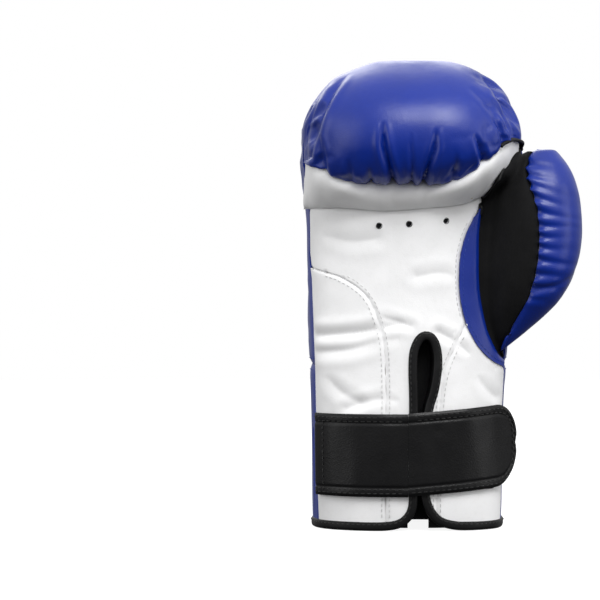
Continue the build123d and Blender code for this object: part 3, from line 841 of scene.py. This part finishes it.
def palm_panel(name, grid, sides, material, replaced, lift=0.0, keep=None):
    """A leather panel of the palm side, wrinkled, and sewn down at the sides named."""
    across, rest, _, _ = edge_gaps(grid)
    calm = 1 - np.exp(-np.minimum(across, rest) / 3.0)
    grid = sewn(raised(grid, palm_relief(grid) * calm + lift), sides, 0.9, 1.5)
    made = skin(name, grid, material, "glove", keep=keep)
    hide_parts(replaced)


SLIT_INSET = 1.6  # the leather's cut edge lies this far under the binding
CORNER_TOP = 124.0  # height where the cuff corner's seam meets the crescent's
VENT_CUT, VENT_RIM = 0.62, 1.2  # shares of a vent's radius: cut away inside, drawn to its edge
slit_outline = curve(SLIT_LINE, 160)
slit_ahead = unit(np.gradient(slit_outline, axis=0))
slit_outline += np.stack([-slit_ahead[:, 1], slit_ahead[:, 0]], axis=1) * SLIT_INSET
heel_line, corner_line = seam_on_palm(HEEL_SEAM), seam_on_palm(CORNER_SEAM)
crescent_line, web_line = seam_on_palm(CRESCENT_SEAM), seam_on_palm(WEB_SEAM)
grip_seam = np.array(GRIP_SEAM)
palm_left = np.concatenate([heel_line, side_line(1, 158, 193.5)])
palm_right = np.concatenate([
    corner_line, crescent_line[crescent_line[:, 1] > CORNER_TOP + 0.5],
    seam_on_palm(((40.5, 190), (45, 199.5))),
])
PALM_ROWS = 190
palm_base = patch(palm_left, palm_right, PALM_ROWS, 121)
rise = np.linspace(0, 1, PALM_ROWS)[:, None] ** 6
palm_base[..., 2] += rise * (
    np.interp(palm_base[-1, :, 0], grip_seam[:, 0], grip_seam[:, 1]) - palm_base[-1, :, 2]
)
palm_open = inside(palm_base, slit_outline)
for vent_x, vent_z in VENTS:
    place = np.array((vent_x, vent_z))
    away = palm_base[..., [0, 2]] - place
    reach = np.linalg.norm(away, axis=-1)
    palm_open |= reach < VENT_CUT * VENT_RADIUS
    rim = (reach >= VENT_CUT * VENT_RADIUS) & (reach < VENT_RIM * VENT_RADIUS)
    snapped = place + away / np.maximum(reach, 1e-6)[..., None] * VENT_RADIUS
    palm_base[rim, 0], palm_base[rim, 2] = snapped[rim, 0], snapped[rim, 1]
palm_panel("palm_leather", palm_base, ("first", "last", "high"), white_leather,
           "palm_cover", keep=~palm_open)
heel_base = patch(side_line(1, 2, 156.5), heel_line, 140, 61)
palm_panel("heel_leather", heel_base, ("last",), white_leather, "heel_cover",
           keep=~inside(heel_base, slit_outline))
low_crescent = crescent_line[crescent_line[:, 1] < CORNER_TOP]
corner_base = patch(corner_line, np.concatenate([side_line(0, 2, 94), low_crescent]), 120, 51)
palm_panel("cuff_corner_leather", corner_base, ("first",), white_leather,
           "cuff_corner_cover", keep=~inside(corner_base, slit_outline))
strip_base = patch(crescent_line, web_line, 110, 21)
palm_panel("thumb_base_leather", strip_base, ("last",), blue_leather,
           "thumb_base_strip", lift=0.9)


# ---------------------------------------------------------------- grip band under the fingers
GRIP_ROWS, GRIP_COLUMNS = 30, 161
grip_x = np.linspace(-63.0, 64.5, GRIP_COLUMNS)


def grip_band():
    """White leather round the grip roll, from the palm's seam up to the gathered blue edge."""
    low_z = np.interp(grip_x, grip_seam[:, 0], grip_seam[:, 1]) - 1.6
    top_row = palm_rows[-1]
    share = np.interp(-grip_x, -top_row[:, 0], np.linspace(0, 1, PALM_COLUMNS))
    low_y = on_palm(share, np.full(GRIP_COLUMNS, 192.0))[:, 1] - 0.4
    edge = fist_grid[-1][::-1]
    high_y = np.interp(grip_x, edge[:, 0], edge[:, 1]) + 4.0
    high_z = np.minimum(np.interp(grip_x, edge[:, 0], edge[:, 2]) + 3.0, 231.0)
    high_y, high_z = evened(high_y, 12), evened(high_z, 12)
    ends = np.clip(np.minimum((grip_x + 63) / 22, (59 - grip_x) / 17), 0, 1)
    bulge = 1.0 + 14.0 * ends ** 0.5
    rows = []
    for t in np.linspace(0, 1, GRIP_ROWS):
        y = (1 - t) ** 2 * low_y + 2 * t * (1 - t) * (np.minimum(low_y, high_y) - bulge) + t ** 2 * high_y
        z = (1 - t) * low_z + t * high_z
        rows.append(np.stack([grip_x, y, z], axis=1))
    return np.array(rows)


grip_base = grip_band()
grip_relief = 0.5 * ripple(grip_base, 8, 41, (1, 0.4, 0.4))
grip_relief += 0.2 * ripple(grip_base, 3, 42, (1, 0.3, 0.3))
grip_grid = sewn(raised(grip_base, grip_relief), ("low",), 1.2, 1.8)
grip_leather = skin("grip_leather", grip_grid, white_leather, "glove")
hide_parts("grip_cover", "finger_underside")

# ---------------------------------------------------------------- thumb
THUMB_AXIS = (
    (56, -15, 104), (60, -15, 120), (68, -16, 145), (75, -17, 170), (79, -18, 195), (80, -18, 212),
)
THUMB_SEAM = (  # Z and X of the leather's edge against the black cloth
    (104, 52.5), (112, 55.5), (120, 59.8), (137, 69.0), (155, 73.6), (178, 73.8), (201, 69.6),
    (215, 65.5), (228, 63.0),
)
thumb_whole_tree = tree_of("thumb_cover", "thumb_gusset")
THUMB_PINCHES = (  # creases on the back that radiate from where the thumb is caught to the hand
    ((84, 214), (72, 208), (62, 203)), ((92, 201), (76, 200), (62, 200)),
    ((88, 180), (74, 188), (62, 197)), ((72, 158), (67, 175), (61, 194)),
)
THUMB_ROOT = (55.0, -21.0, 106.5)
THUMB_FRONT = -18  # Y that the black cloth's seam lies in front of
THUMB_ROWS, THUMB_COLUMNS, DOME_ROWS = 110, 121, 26


def thumb_row(origin, along_axis, rise=0.0, arc=None):
    """The blue leather round one level of the thumb, from its front seam to the hand."""
    front = np.array((0.0, -1.0, 0.0))
    front = unit(front - along_axis * (front @ along_axis))
    right = np.cross(along_axis, front)
    points, kept = [], []
    angles = np.arange(-100.0, 262.0, 2.0) if arc is None else np.linspace(*arc, 120)
    for angle in np.radians(angles):
        flat = front * math.cos(angle) + right * math.sin(angle)
        direction = flat * math.cos(rise) + along_axis * math.sin(rise)
        points.append(outermost(thumb_whole_tree, origin, direction))
        kept.append(math.degrees(angle))
    points, kept = np.array(points), np.array(kept)
    seam = np.array(THUMB_SEAM, float)
    beyond = (points[:, 1] < THUMB_FRONT) & (points[:, 0] < np.interp(points[:, 2], seam[:, 0], seam[:, 1]))
    found = ~np.isnan(points[:, 0]) & ~beyond
    first = last = int(np.argmin(np.abs(kept - 90)))
    while first > 0 and found[first - 1]:
        first -= 1
    while last < len(kept) - 1 and found[last + 1]:
        last += 1
    return along(points[first:last + 1], THUMB_COLUMNS), (kept[first], kept[last])


def thumb_base():
    """The thumb's leather before its puckers: from its root, up its axis and over its tip."""
    axis = curve(THUMB_AXIS, THUMB_ROWS)
    ahead = unit(np.gradient(axis, axis=0))
    rows, arc = [], None
    for origin, direction in zip(axis, ahead):
        if origin[2] < 114.5:
            continue
        row, arc = thumb_row(origin, direction)
        rows.append(row)
    for rise in np.linspace(0, math.radians(89), DOME_ROWS + 1)[1:]:
        share = math.sin(rise)
        wider = (arc[0] - 18 * share, arc[1] + 20 * share)
        rows.append(thumb_row(axis[-1], ahead[-1], rise, wider)[0])
    root = np.array(THUMB_ROOT)
    grow = [root + (rows[0] - root) * share for share in np.linspace(0, 1, 10)[:-1]]
    grid = np.array(grow + rows)
    for column in (0, -1):
        grid[:, column] = evened(grid[:, column], 60)
    return smoothed(grid, 10)


def thumb_relief(points):
    """Puckers along the front seam, one larger fold near the root, and soft unevenness."""
    gaps = edge_gaps(points)
    z = points[..., 2]
    h = 0.5 * ripple(points, 20, 51) + 0.16 * ripple(points, 7, 52)
    pucker = np.cos(2 * math.pi * z / 7.4 + 2.2 * ripple(points, 9, 53) + 0.12 * gaps[0])
    tall = np.clip((z - 130) / 12, 0, 1) * np.clip((224 - z) / 6, 0, 1)
    reach = 8.0 + 4.0 * ripple(points, 5, 54, (0, 0, 1))
    h = h + tall * (pucker - 0.35 * pucker ** 2) * 1.1 * np.exp(-gaps[0] / reach)
    root = np.exp(-((z - 141 - 0.3 * gaps[0]) / 2.2) ** 2) * np.exp(-gaps[0] / 22)
    behind = np.clip((points[..., 1] + 4) / 8, 0, 1)
    for path in THUMB_PINCHES:
        h = h + crease(points, path, 1.6, 1.5, where=behind)
    return h - 1.6 * root + 0.5 * np.exp(-((z - 136) / 4) ** 2) * np.exp(-gaps[0] / 18)


thumb_flat = thumb_base()
thumb_grid = sewn(raised(thumb_flat, thumb_relief(thumb_flat)), ("first",), 1.2, 2.0)
thumb_shell = skin("thumb_leather", thumb_grid, blue_leather, None)
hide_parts("thumb_cover")
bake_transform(thumb_shell)

# ---------------------------------------------------------------- black cloth between hand and thumb
WEB_TOP = ((42.0, 192.0), (43.0, 197.0), (52.0, 209.0), (56.5, 222.0), (58.5, 229.0))
WEB_ROWS, WEB_COLUMNS = 120, 41
WEB_EDGE_ROW = 79  # the web's edge shows from this row up
front_tree = tree_of(
    "web_panel", "thumb_gusset", "thumb_cover", "main_cover", "palm_cover", "cuff_corner_cover",
)
band_tree = BVHTree.FromPolygons(
    [Vector(point) for point in grip_grid.reshape(-1, 3)], quads(GRIP_ROWS, GRIP_COLUMNS)
)


def from_front(x, z):
    """The point of the glove's front at X and Z."""
    origin, ahead = Vector((x, -REACH, z)), Vector((0, 1, 0))
    hits = [tree.ray_cast(origin, ahead, REACH)[0] for tree in (front_tree, band_tree)]
    depths = [hit[1] for hit in hits if hit is not None]
    return np.array((x, min(depths) if depths else np.nan, z))


def web_sheet():
    """The cloth between the hand's seam on the left and the thumb's seam on the right."""
    left = along(np.concatenate([curve(WEB_SEAM, 80), curve(WEB_TOP, 30)]), WEB_ROWS)
    edge = thumb_grid[:, 0]
    right = along(edge[edge[:, 2] < 225], WEB_ROWS)
    rows = []
    for start, end in zip(left, right):
        flat = zip(np.linspace(start[0], end[0], WEB_COLUMNS), np.linspace(start[1], end[2], WEB_COLUMNS))
        row = np.array([from_front(x, z) for x, z in flat])
        found = ~np.isnan(row[:, 1])
        row[:, 1] = np.interp(np.arange(WEB_COLUMNS), np.flatnonzero(found), row[found, 1])
        row[-1] = end
        rows.append(row)
    grid = np.array(rows)
    grid[..., 1] = np.maximum(grid[..., 1], grid[:, -1:, 1] - 3)
    return smoothed(grid, 40)


web_grid = web_sheet()
web_grid = raised(web_grid, 0.3 * ripple(web_grid, 9, 61, (0.3, 1, 1.6)))
web_rise = np.clip((np.arange(WEB_ROWS) - 74) / 10, 0, 1)[:, None] * np.linspace(1, 0, WEB_COLUMNS)
web_grid[..., 1] += 0.8 - 1.8 * web_rise
web = skin("web_cloth", web_grid, web_cloth, None, thickness=0.9)
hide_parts("web_panel", "thumb_gusset")
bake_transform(web)

# ---------------------------------------------------------------- tape along the web and the fist
TAPE_WIDTH, TAPE_DEPTH = 2.2, 1.6
RIM_FROM = 51.0  # X from which the fist's edge is taped
tape_turn = np.linspace(0, 2 * math.pi, 12, endpoint=False)
tape = np.stack([
    TAPE_WIDTH / 2 * np.cos(tape_turn), TAPE_DEPTH / 2 * (1 + np.sin(tape_turn))
], axis=1)
web_edging = sweep("web_edging", web_grid[WEB_EDGE_ROW:, 0], normals_of(web_grid)[WEB_EDGE_ROW:, 0],
                   tape, binding_leather, None)
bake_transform(web_edging)
rim = fist_grid[-1][fist_grid[-1][:, 0] > RIM_FROM][:-1][::-1]
rim_path = evened(along(rim, 40), 20)
rim_out = np.tile((0.0, -1.0, 0.0), (len(rim_path), 1))
sweep("hand_edging", rim_path, rim_out, tape, binding_leather, "glove")

# ---------------------------------------------------------------- straps
STRAP_OUT = 3.7  # millimetres from the leather to the strap's outer face
STRAP_THICK, STRAP_HALF = 1.8, 24.5
STRAP_ROOT = -57.5  # how far along the strap its root is sewn
STRAP_TIP_RADIUS = 20.0
RAIL_LOW, RAIL_HIGH, RAIL_STEP = 16.0, 80.0, 4.0  # heights at which the cuff's rings are sampled
STRAP_JOIN = -1.5  # X where the strap's two parts meet over the slit


def strap_rails():
    """Rings round the cuff, as points by millimetres along the strap from where its parts meet."""
    rails = {}
    for z in np.arange(RAIL_LOW, RAIL_HIGH + 0.1, RAIL_STEP):
        ring = evened(on_ring(z, np.radians(np.linspace(-190, 40, 460))), 60)
        ring = ring + level_out(np.gradient(ring, axis=0)) * STRAP_OUT
        steps = np.concatenate([[0], np.cumsum(np.linalg.norm(np.diff(ring, axis=0), axis=1))])
        front = ring[:, 1] < 0
        start = np.interp(STRAP_JOIN, ring[front, 0], steps[front])
        rails[float(z)] = (steps - start, ring)
    return rails


rails = strap_rails()
rail_heights = np.array(sorted(rails))


def on_strap(u, z):
    """A point of the strap's outer face, u millimetres along it at height z."""
    i = int(np.clip((z - RAIL_LOW) / RAIL_STEP, 0, len(rail_heights) - 2))
    share = (z - rail_heights[i]) / RAIL_STEP
    ends = []
    for height in rail_heights[i:i + 2]:
        steps, ring = rails[float(height)]
        ends.append([np.interp(u, steps, ring[:, k]) for k in range(2)])
    x, y = np.array(ends[0]) * (1 - share) + np.array(ends[1]) * share
    return np.array((x, y, z))


LIFT_FROM, TAB_LENGTH = 54.0, 76.5  # the tab's end stands off the cuff past the first


def tab_point(u, z):
    """A point of the free end's outer face, which leaves the cuff towards its tip."""
    if u <= LIFT_FROM:
        return on_strap(u, z)
    leaves = on_strap(LIFT_FROM, z)
    ahead = unit(leaves - on_strap(LIFT_FROM - 2, z))
    straight = leaves + ahead * (u - LIFT_FROM)
    return straight * 0.72 + on_strap(u, z) * 0.28


def tab_half(u):
    """Half the free end's width, round at its tip."""
    past = max(0.0, u - (TAB_LENGTH - STRAP_TIP_RADIUS))
    return STRAP_HALF - STRAP_TIP_RADIUS + math.sqrt(max(0.0, STRAP_TIP_RADIUS ** 2 - past ** 2))


def tab_middle(u):
    """The height of the free end's middle, which rises a little."""
    return 45.3 + 6.2 * u / TAB_LENGTH


def strap_grid(low_u, high_u, columns, rows, point, half, middle):
    """A grid over part of the strap, with its columns closer towards its far end."""
    even = np.linspace(0, 1, columns)
    at = low_u + (high_u - low_u) * (0.6 * even + 0.4 * np.sin(even * math.pi / 2))
    return np.array([
        [point(u, middle(u) + half(u) * v) for u in at] for v in np.linspace(-1, 1, rows)
    ])


def bordered(grid, free):
    """A strap face with a rounded rim and pressed borders. Its loose end is the first column if
    free is 0 and the last one if it is 1."""
    gaps = edge_gaps(grid)
    side = np.minimum(gaps[2], gaps[3])
    edge = np.minimum(side, gaps[free])
    relief = -0.9 * np.exp(-(edge / 0.9) ** 2) - 0.5 * np.exp(-((side - 5.4) / 0.9) ** 2)
    relief += 0.3 * ripple(grid, 5, 72, (1, 1, 0.4))
    relief += 0.15 * ripple(grid, 10, 71)
    return raised(grid, relief)


tab_base = strap_grid(0.05, TAB_LENGTH, 150, 91, tab_point, tab_half, tab_middle)
tab = skin("strap_tab_leather", bordered(tab_base, 1), black_leather, None,
           STRAP_THICK)
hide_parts("strap_tab")
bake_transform(tab)
root_base = strap_grid(
    -0.05, STRAP_ROOT - 5, 110, 91, on_strap, lambda u: STRAP_HALF, lambda u: 45.0
)[:, ::-1]
root_grid = bordered(root_base, 0)
strap_root = skin("strap_leather", root_grid, black_leather, None, STRAP_THICK)
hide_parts("strap_anchor", "strap_base")
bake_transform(strap_root)

# ---------------------------------------------------------------- badge on the back of the cuff
BADGE_CENTRE = (-4.4, 53.0)
back_tree = tree_of("cuff_back_cover", "main_cover")


def rounded_outline(size, corner_radius):
    """A rectangle with round corners, about its own middle."""
    half = np.array(size) / 2 - corner_radius
    points = []
    for corner, signs in enumerate(((1, 1), (-1, 1), (-1, -1), (1, -1))):
        for t in np.linspace(0, math.pi / 2, 12):
            turn = corner * math.pi / 2 + t
            points.append(half * signs + corner_radius * np.array((math.cos(turn), math.sin(turn))))
    return along(points + points[:1], 161)[:-1]


def on_back(x, z, lift):
    """A point that stands off the back of the glove at X and Z."""
    hit, normal = back_tree.ray_cast(Vector((x, REACH, z)), Vector((0, -1, 0)), REACH)[:2]
    return np.array(hit) + np.array(normal) * lift


def plate(name, outer, inner, lift, thick, material, node):
    """A flat patch sewn to the back, ringed from inner outline to outer one."""
    shares = np.concatenate([np.linspace(0, 0.9, 16), np.linspace(0.92, 1, 7)])
    rings = []
    for share in shares:
        ring = inner * (1 - share) + outer * share
        edge = np.linalg.norm(outer - ring, axis=1)
        drop = 0.5 * np.exp(-(edge / 0.7) ** 2)
        centred = ring + np.array(BADGE_CENTRE)
        rings.append([on_back(x, z, lift - d) for (x, z), d in zip(centred, drop)])
    rings = np.array(rings)
    under = rings.copy()
    under[..., 1] -= thick
    rows, count = rings.shape[:2]
    faces = quads(rows, count, wrap=True) + quads(rows, count, rows * count, flip=True, wrap=True)
    for row in (0, rows - 1):
        for c in range(count):
            d = (c + 1) % count
            a, b = row * count + c, row * count + d
            faces.append([a, b, b + rows * count, a + rows * count])
    points = np.concatenate([rings.reshape(-1, 3), under.reshape(-1, 3)])
    made = new_object(name, points, faces, material, "glove")
    weld(made)
    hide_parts(node)


patch_outline = rounded_outline((93.0, 58.0), 5.0)
border_outline = rounded_outline((86.0, 48.0), 3.0)
panel_outline = rounded_outline((80.0, 42.5), 1.5)
plate("badge_patch_face", patch_outline, patch_outline * 0, 1.0, 1.0, patch_grey,
      "badge_patch")
plate("badge_border_face", border_outline, panel_outline, 1.5, 0.8, patch_ink,
      "badge_border")
plate("badge_panel_face", panel_outline * 0.995, panel_outline * 0, 1.45, 0.8, patch_panel,
      "badge_panel")


# ---------------------------------------------------------------- padding
FOAM_NODES = (
    "cuff_padding", "hand_back_padding", "palm_padding", "knuckle_padding", "finger_padding",
    "thumb_padding", "grip_roll",
)
FOAM_VOXEL = 4.0
FOAM_DRAWN_IN = {"knuckle_padding": 4.2, "finger_padding": 4.2, "thumb_padding": 2.6}
ROLL_SHARE = 0.86  # of the grip roll's length
SLIT_ROOM = (-0.014, 0.024)  # X, in metres, between which the foam ends above the hem


def foam_piece(node):
    """The padding inside, a little smaller than its room so that the leather lies over it freely."""
    made = bpy.data.objects.new(node + "_foam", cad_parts[node].data.copy())
    bpy.context.scene.collection.objects.link(made)
    remesh = made.modifiers.new("remesh", "REMESH")
    remesh.mode = "VOXEL"
    remesh.voxel_size = FOAM_VOXEL * METRES * (0.5 if node == "grip_roll" else 1)
    graph = bpy.context.evaluated_depsgraph_get()
    shaped = bpy.data.meshes.new_from_object(made.evaluated_get(graph))
    made.modifiers.clear()
    made.data = shaped
    drawn = FOAM_DRAWN_IN.get(node, 1.6) * METRES
    shorter = Vector((ROLL_SHARE if node == "grip_roll" else 1, 1, 1))
    moved = [(vertex.co - vertex.normal * drawn) * shorter for vertex in shaped.vertices]
    for vertex, place in zip(shaped.vertices, moved):
        by_slit = place.y < -0.015 and SLIT_ROOM[0] < place.x < SLIT_ROOM[1]
        vertex.co = (place.x, place.y, max(place.z, 0.011) if by_slit else place.z)
    shaped.materials.clear()
    shaped.materials.append(foam)
    shaped.polygons.foreach_set("use_smooth", [True] * len(shaped.polygons))
    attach(made, "thumb" if node == "thumb_padding" else "glove")
    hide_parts(node)


for foam_node in FOAM_NODES:
    foam_piece(foam_node)


# ---------------------------------------------------------------- CAD nodes that stay
for kept_node, kept_material in {
    "slit_gusset": web_cloth,
    "hand_lining": lining_cloth, "finger_lining": lining_cloth, "thumb_lining": lining_cloth,
    "hook_patch": hook_tape, "loop_patch": loop_pile,
}.items():
    kept_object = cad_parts[kept_node]
    for material_slot in kept_object.material_slots:
        material_slot.material = kept_material


# ---------------------------------------------------------------- stitching
def palm_path(flat, lift=0.0):
    """A line on the palm side, from shares and heights, with its outward normals."""
    share, height = flat[:, 0], flat[:, 1]
    step = 0.012
    across = on_palm(share - step, height) - on_palm(share + step, height)
    up = on_palm(share, height + 2) - on_palm(share, height - 2)
    out = unit(np.cross(across, up))
    points = on_palm(share, height)
    return points + out * (palm_relief(points) + lift)[:, None], out


def beside(flat, gap):
    """A line of shares and heights moved sideways by gap millimetres."""
    scale = np.array((-ACROSS, 1.0))
    line = flat * scale
    ahead = unit(np.gradient(line, axis=0))
    return (line + np.stack([ahead[:, 1], -ahead[:, 0]], axis=1) * gap) / scale


def between(flat, low, high):
    """The part of a line that lies between two heights."""
    return flat[(flat[:, 1] >= low) & (flat[:, 1] <= high)]


stitches("palm_stitches", [
    palm_path(between(beside(heel_line, gap), 7.5, 152.0)) for gap in (-2.6, 2.6)
] + [
    palm_path(between(beside(corner_line, gap), 7.5, 117)) for gap in (-2.4, 2.4)
] + [
    palm_path(between(beside(crescent_line, -2.4), 126, 185))
], white_thread_painted_shade, "glove")
stitches("crescent_stitches", [palm_path(between(beside(crescent_line, 2.2), 99, 184), 0.9)],
         blue_thread, "glove")


def grid_line(grid, row=None, column=None, start=0, stop=None):
    """A line along a row or column of a grid, with its outward normals."""
    normals = normals_of(grid)
    if row is not None:
        return grid[row, start:stop], normals[row, start:stop]
    return grid[start:stop, column], normals[start:stop, column]


stitches("wrist_stitches", [
    grid_line(cuff_grid, row=-3, start=3, stop=-3), grid_line(fist_grid, row=2, start=3, stop=-3),
], blue_thread, "glove", length=2.6)


def tab_line(flat):
    """A line on the strap's free end, from millimetres along it and heights, with its normals."""
    points = np.array([tab_point(u, z) for u, z in flat])
    ahead = np.array([tab_point(u + 0.6, z) - tab_point(u - 0.6, z) for u, z in flat])
    return points, level_out(ahead)


def tab_outline(inset):
    """A line a little inside the rim of the strap's free end, round its D-shaped tip."""
    centre, bend = TAB_LENGTH - STRAP_TIP_RADIUS, STRAP_TIP_RADIUS - inset
    half = [(u, inset - STRAP_HALF) for u in np.linspace(inset, centre, 40)]
    half += [
        (centre + bend * math.sin(t), STRAP_TIP_RADIUS - STRAP_HALF - bend * math.cos(t))
        for t in np.linspace(0, math.pi / 2, 24)
    ]
    whole = half + [(u, -height) for u, height in reversed(half)]
    return np.array([(u, tab_middle(u) + height) for u, height in whole])


tab_rows = [tab_line(tab_outline(inset)) for inset in (2.2, 4.4)]
tab_stitches = stitches("strap_tab_stitches", tab_rows, black_thread, None,
                        length=2.6, thick=0.6, lift=0.3)
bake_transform(tab_stitches)
root_rows = [grid_line(root_grid, row=r, start=3, stop=-3) for r in (4, 8, -9, -5)]
root_rows.append(grid_line(root_grid, column=22, start=6, stop=-6))
strap_stitches = stitches("strap_stitches", root_rows, black_thread, None,
                          length=2.6, thick=0.6, lift=0.3)
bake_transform(strap_stitches)


# ---------------------------------------------------------------- vents in the palm
VENT_DEPTH, VENT_SIDES = 1.0, 24


def vent_cup(x, z):
    """A dark hole through the palm: a short tube with a floor."""
    share, height = share_at(((x, z),))[0]
    mouth, out = palm_path(np.array(((share, height), (share, height))))
    mouth, out = mouth[0], out[0]
    points = []
    rings = (
        (1.95, 0.5), (1.9, -0.12), (1.6, -0.18), (1.4, 0.5), (1.4, VENT_DEPTH), (0.0, VENT_DEPTH),
    )
    for reach, down in rings:
        for k in range(VENT_SIDES):
            turn = 2 * math.pi * k / VENT_SIDES
            rim = np.array((math.cos(turn), 0.0, math.sin(turn))) * reach
            points.append(mouth + rim - out * down)
    return points, quads(len(rings), VENT_SIDES, wrap=True)


vent_points, vent_faces = [], []
for vent in VENTS:
    points, faces = vent_cup(*vent)
    vent_faces += [[len(vent_points) + i for i in face] for face in faces]
    vent_points += points
vents = new_object("palm_vents", vent_points, vent_faces, lining_cloth, "glove")
weld(vents)

# ---------------------------------------------------------------- binding round the hem and the slit
BINDING_PROFILE = (  # across the edge onto the leather, and out from the leather
    (-0.65, -0.6), (-0.55, 0.5), (0.0, 1.05), (1.2, 1.3), (3.4, 1.25), (4.3, 0.9), (4.6, 0.2),
    (4.6, -3.0), (4.2, -8.2), (0.2, -8.4), (-0.5, -7.8),
)
BINDING_SEAM = (3.2, 1.15)  # its row of stitches, in the same two directions


def binding_path():
    """The edge of the cuff's mouth and of the slit, as one closed line with outward normals."""
    slit, slit_out = palm_path(share_at(curve(SLIT_LINE, 300)))
    angle = np.radians(np.linspace(-90, 270, 1441))
    ring = on_ring(2.0, angle)
    right = angle[:360][np.argmin(np.abs(ring[:360, 0] - slit[-1, 0]))]
    left = angle[1080:][np.argmin(np.abs(ring[1080:, 0] - slit[0, 0]))]
    hem = along(on_ring(2.0, np.linspace(right, left, 500)), 340)[1:-1]
    hem[:, 2] = SLIT_LINE[0][1]
    hem_out = level_out(np.gradient(hem, axis=0))
    path, out = np.concatenate([hem, slit]), np.concatenate([hem_out, slit_out])
    for _ in range(5):
        path = (np.roll(path, 1, axis=0) + 2 * path + np.roll(path, -1, axis=0)) / 4
        out = (np.roll(out, 1, axis=0) + 2 * out + np.roll(out, -1, axis=0)) / 4
    return path, unit(out)


edge_path, edge_out = binding_path()
binding = sweep("cuff_binding", edge_path, edge_out, BINDING_PROFILE, binding_leather, "glove",
                closed=True)
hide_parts("hem_binding", "slit_binding")
edge_ahead = np.roll(edge_path, -1, axis=0) - np.roll(edge_path, 1, axis=0)
edge_across = unit(np.cross(edge_out, edge_ahead))
binding_row = edge_path + edge_across * BINDING_SEAM[0] + edge_out * BINDING_SEAM[1]
stitches("binding_stitches", [(binding_row, edge_out)],
         black_thread, "glove", thick=0.5, lift=0.2)


# ---------------------------------------------------------------- camera, light and floor
VIEW_WIDTH = 365.4  # millimetres of the scene across the picture, at the glove's middle
VIEW_DISTANCE = 1300.0
VIEW_AT = (-65.3, 137.0)  # X and Z at the picture's centre
SENSOR = 36.0

camera_data = bpy.data.cameras.new("camera")
camera_data.sensor_width = SENSOR
camera_data.lens = SENSOR * VIEW_DISTANCE / VIEW_WIDTH
camera = bpy.data.objects.new("camera", camera_data)
camera.location = (VIEW_AT[0] * METRES, -VIEW_DISTANCE * METRES, VIEW_AT[1] * METRES)
camera.rotation_euler = (math.radians(90), 0, 0)
bpy.context.scene.collection.objects.link(camera)
bpy.context.scene.camera = camera


def area_light(name, place, aim, size, power):
    """A lamp at a place, aimed at a point, both in metres."""
    data = bpy.data.lights.new(name, "AREA")
    data.shape = "RECTANGLE"
    data.size, data.size_y = size
    data.energy = power
    made = bpy.data.objects.new(name, data)
    made.location = place
    made.rotation_euler = (Vector(aim) - Vector(place)).to_track_quat("-Z", "Y").to_euler()
    bpy.context.scene.collection.objects.link(made)


area_light("key", (0.25, -0.75, 0.95), (0, 0, 0.15), (0.6, 0.5), 9)
area_light("fill_left", (-0.95, -0.55, 0.35), (0, 0, 0.13), (0.6, 0.9), 2.6)
area_light("fill_right", (0.95, -0.45, 0.3), (0, 0, 0.13), (0.5, 0.9), 2.1)
area_light("back_light", (-0.2, 0.95, 0.8), (0, 0, 0.15), (0.9, 0.6), 4)

world = bpy.data.worlds.new("studio")
world.use_nodes = True
sky_tree = world.node_tree
direction = sky_tree.nodes.new("ShaderNodeTexCoord").outputs["Generated"]
upward = node(sky_tree, "SeparateXYZ", "Z", wires={"Vector": direction})
soft_sky = ranged(sky_tree, upward, 0.1, 0.95, -0.55, 0.75)
soft_sky.node.interpolation_type = "SMOOTHSTEP"
sky_tree.nodes["Background"].inputs["Strength"].default_value = 1.0
sky_tree.links.new(soft_sky, sky_tree.nodes["Background"].inputs["Color"])
bpy.context.scene.world = world
bpy.context.scene.view_settings.view_transform = "Standard"

FLOOR = 2400.0


def stage_piece(name, points, faces, colour, glow):
    """Part of the white studio. It shows white and leaves the light on the glove to the lamps."""
    mesh = bpy.data.meshes.new(name)
    mesh.from_pydata([tuple(v * METRES for v in point) for point in points], [], faces)
    made = bpy.data.objects.new(name, mesh)
    bpy.context.scene.collection.objects.link(made)
    material, tree = start_material(name, 0.9, 0.0)
    shader = tree.nodes["Principled BSDF"]
    shader.inputs["Base Color"].default_value = (colour, colour, colour, 1)
    shader.inputs["Emission Color"].default_value = (1, 1, 1, 1)
    shader.inputs["Emission Strength"].default_value = glow
    mesh.materials.append(material)
    made.visible_diffuse = made.visible_glossy = made.visible_shadow = False


floor_corners = [(x * FLOOR, y * FLOOR, -0.3) for x, y in ((-1, -1), (1, -1), (1, 1), (-1, 1))]
stage_piece("floor", floor_corners, [(0, 1, 2, 3)], 0.35, 0.9)
DOME_SIDES = 32
dome_points, dome_levels = [], np.linspace(-0.5, 0.98, 12) * math.pi / 2
for level in dome_levels:
    for k in range(DOME_SIDES):
        turn = 2 * math.pi * k / DOME_SIDES
        level_radius = FLOOR * math.cos(level)
        dome_points.append((
            level_radius * math.cos(turn), level_radius * math.sin(turn), FLOOR * math.sin(level),
        ))
stage_piece("backdrop", dome_points, quads(len(dome_levels), DOME_SIDES, wrap=True), 0.0, 1.0)
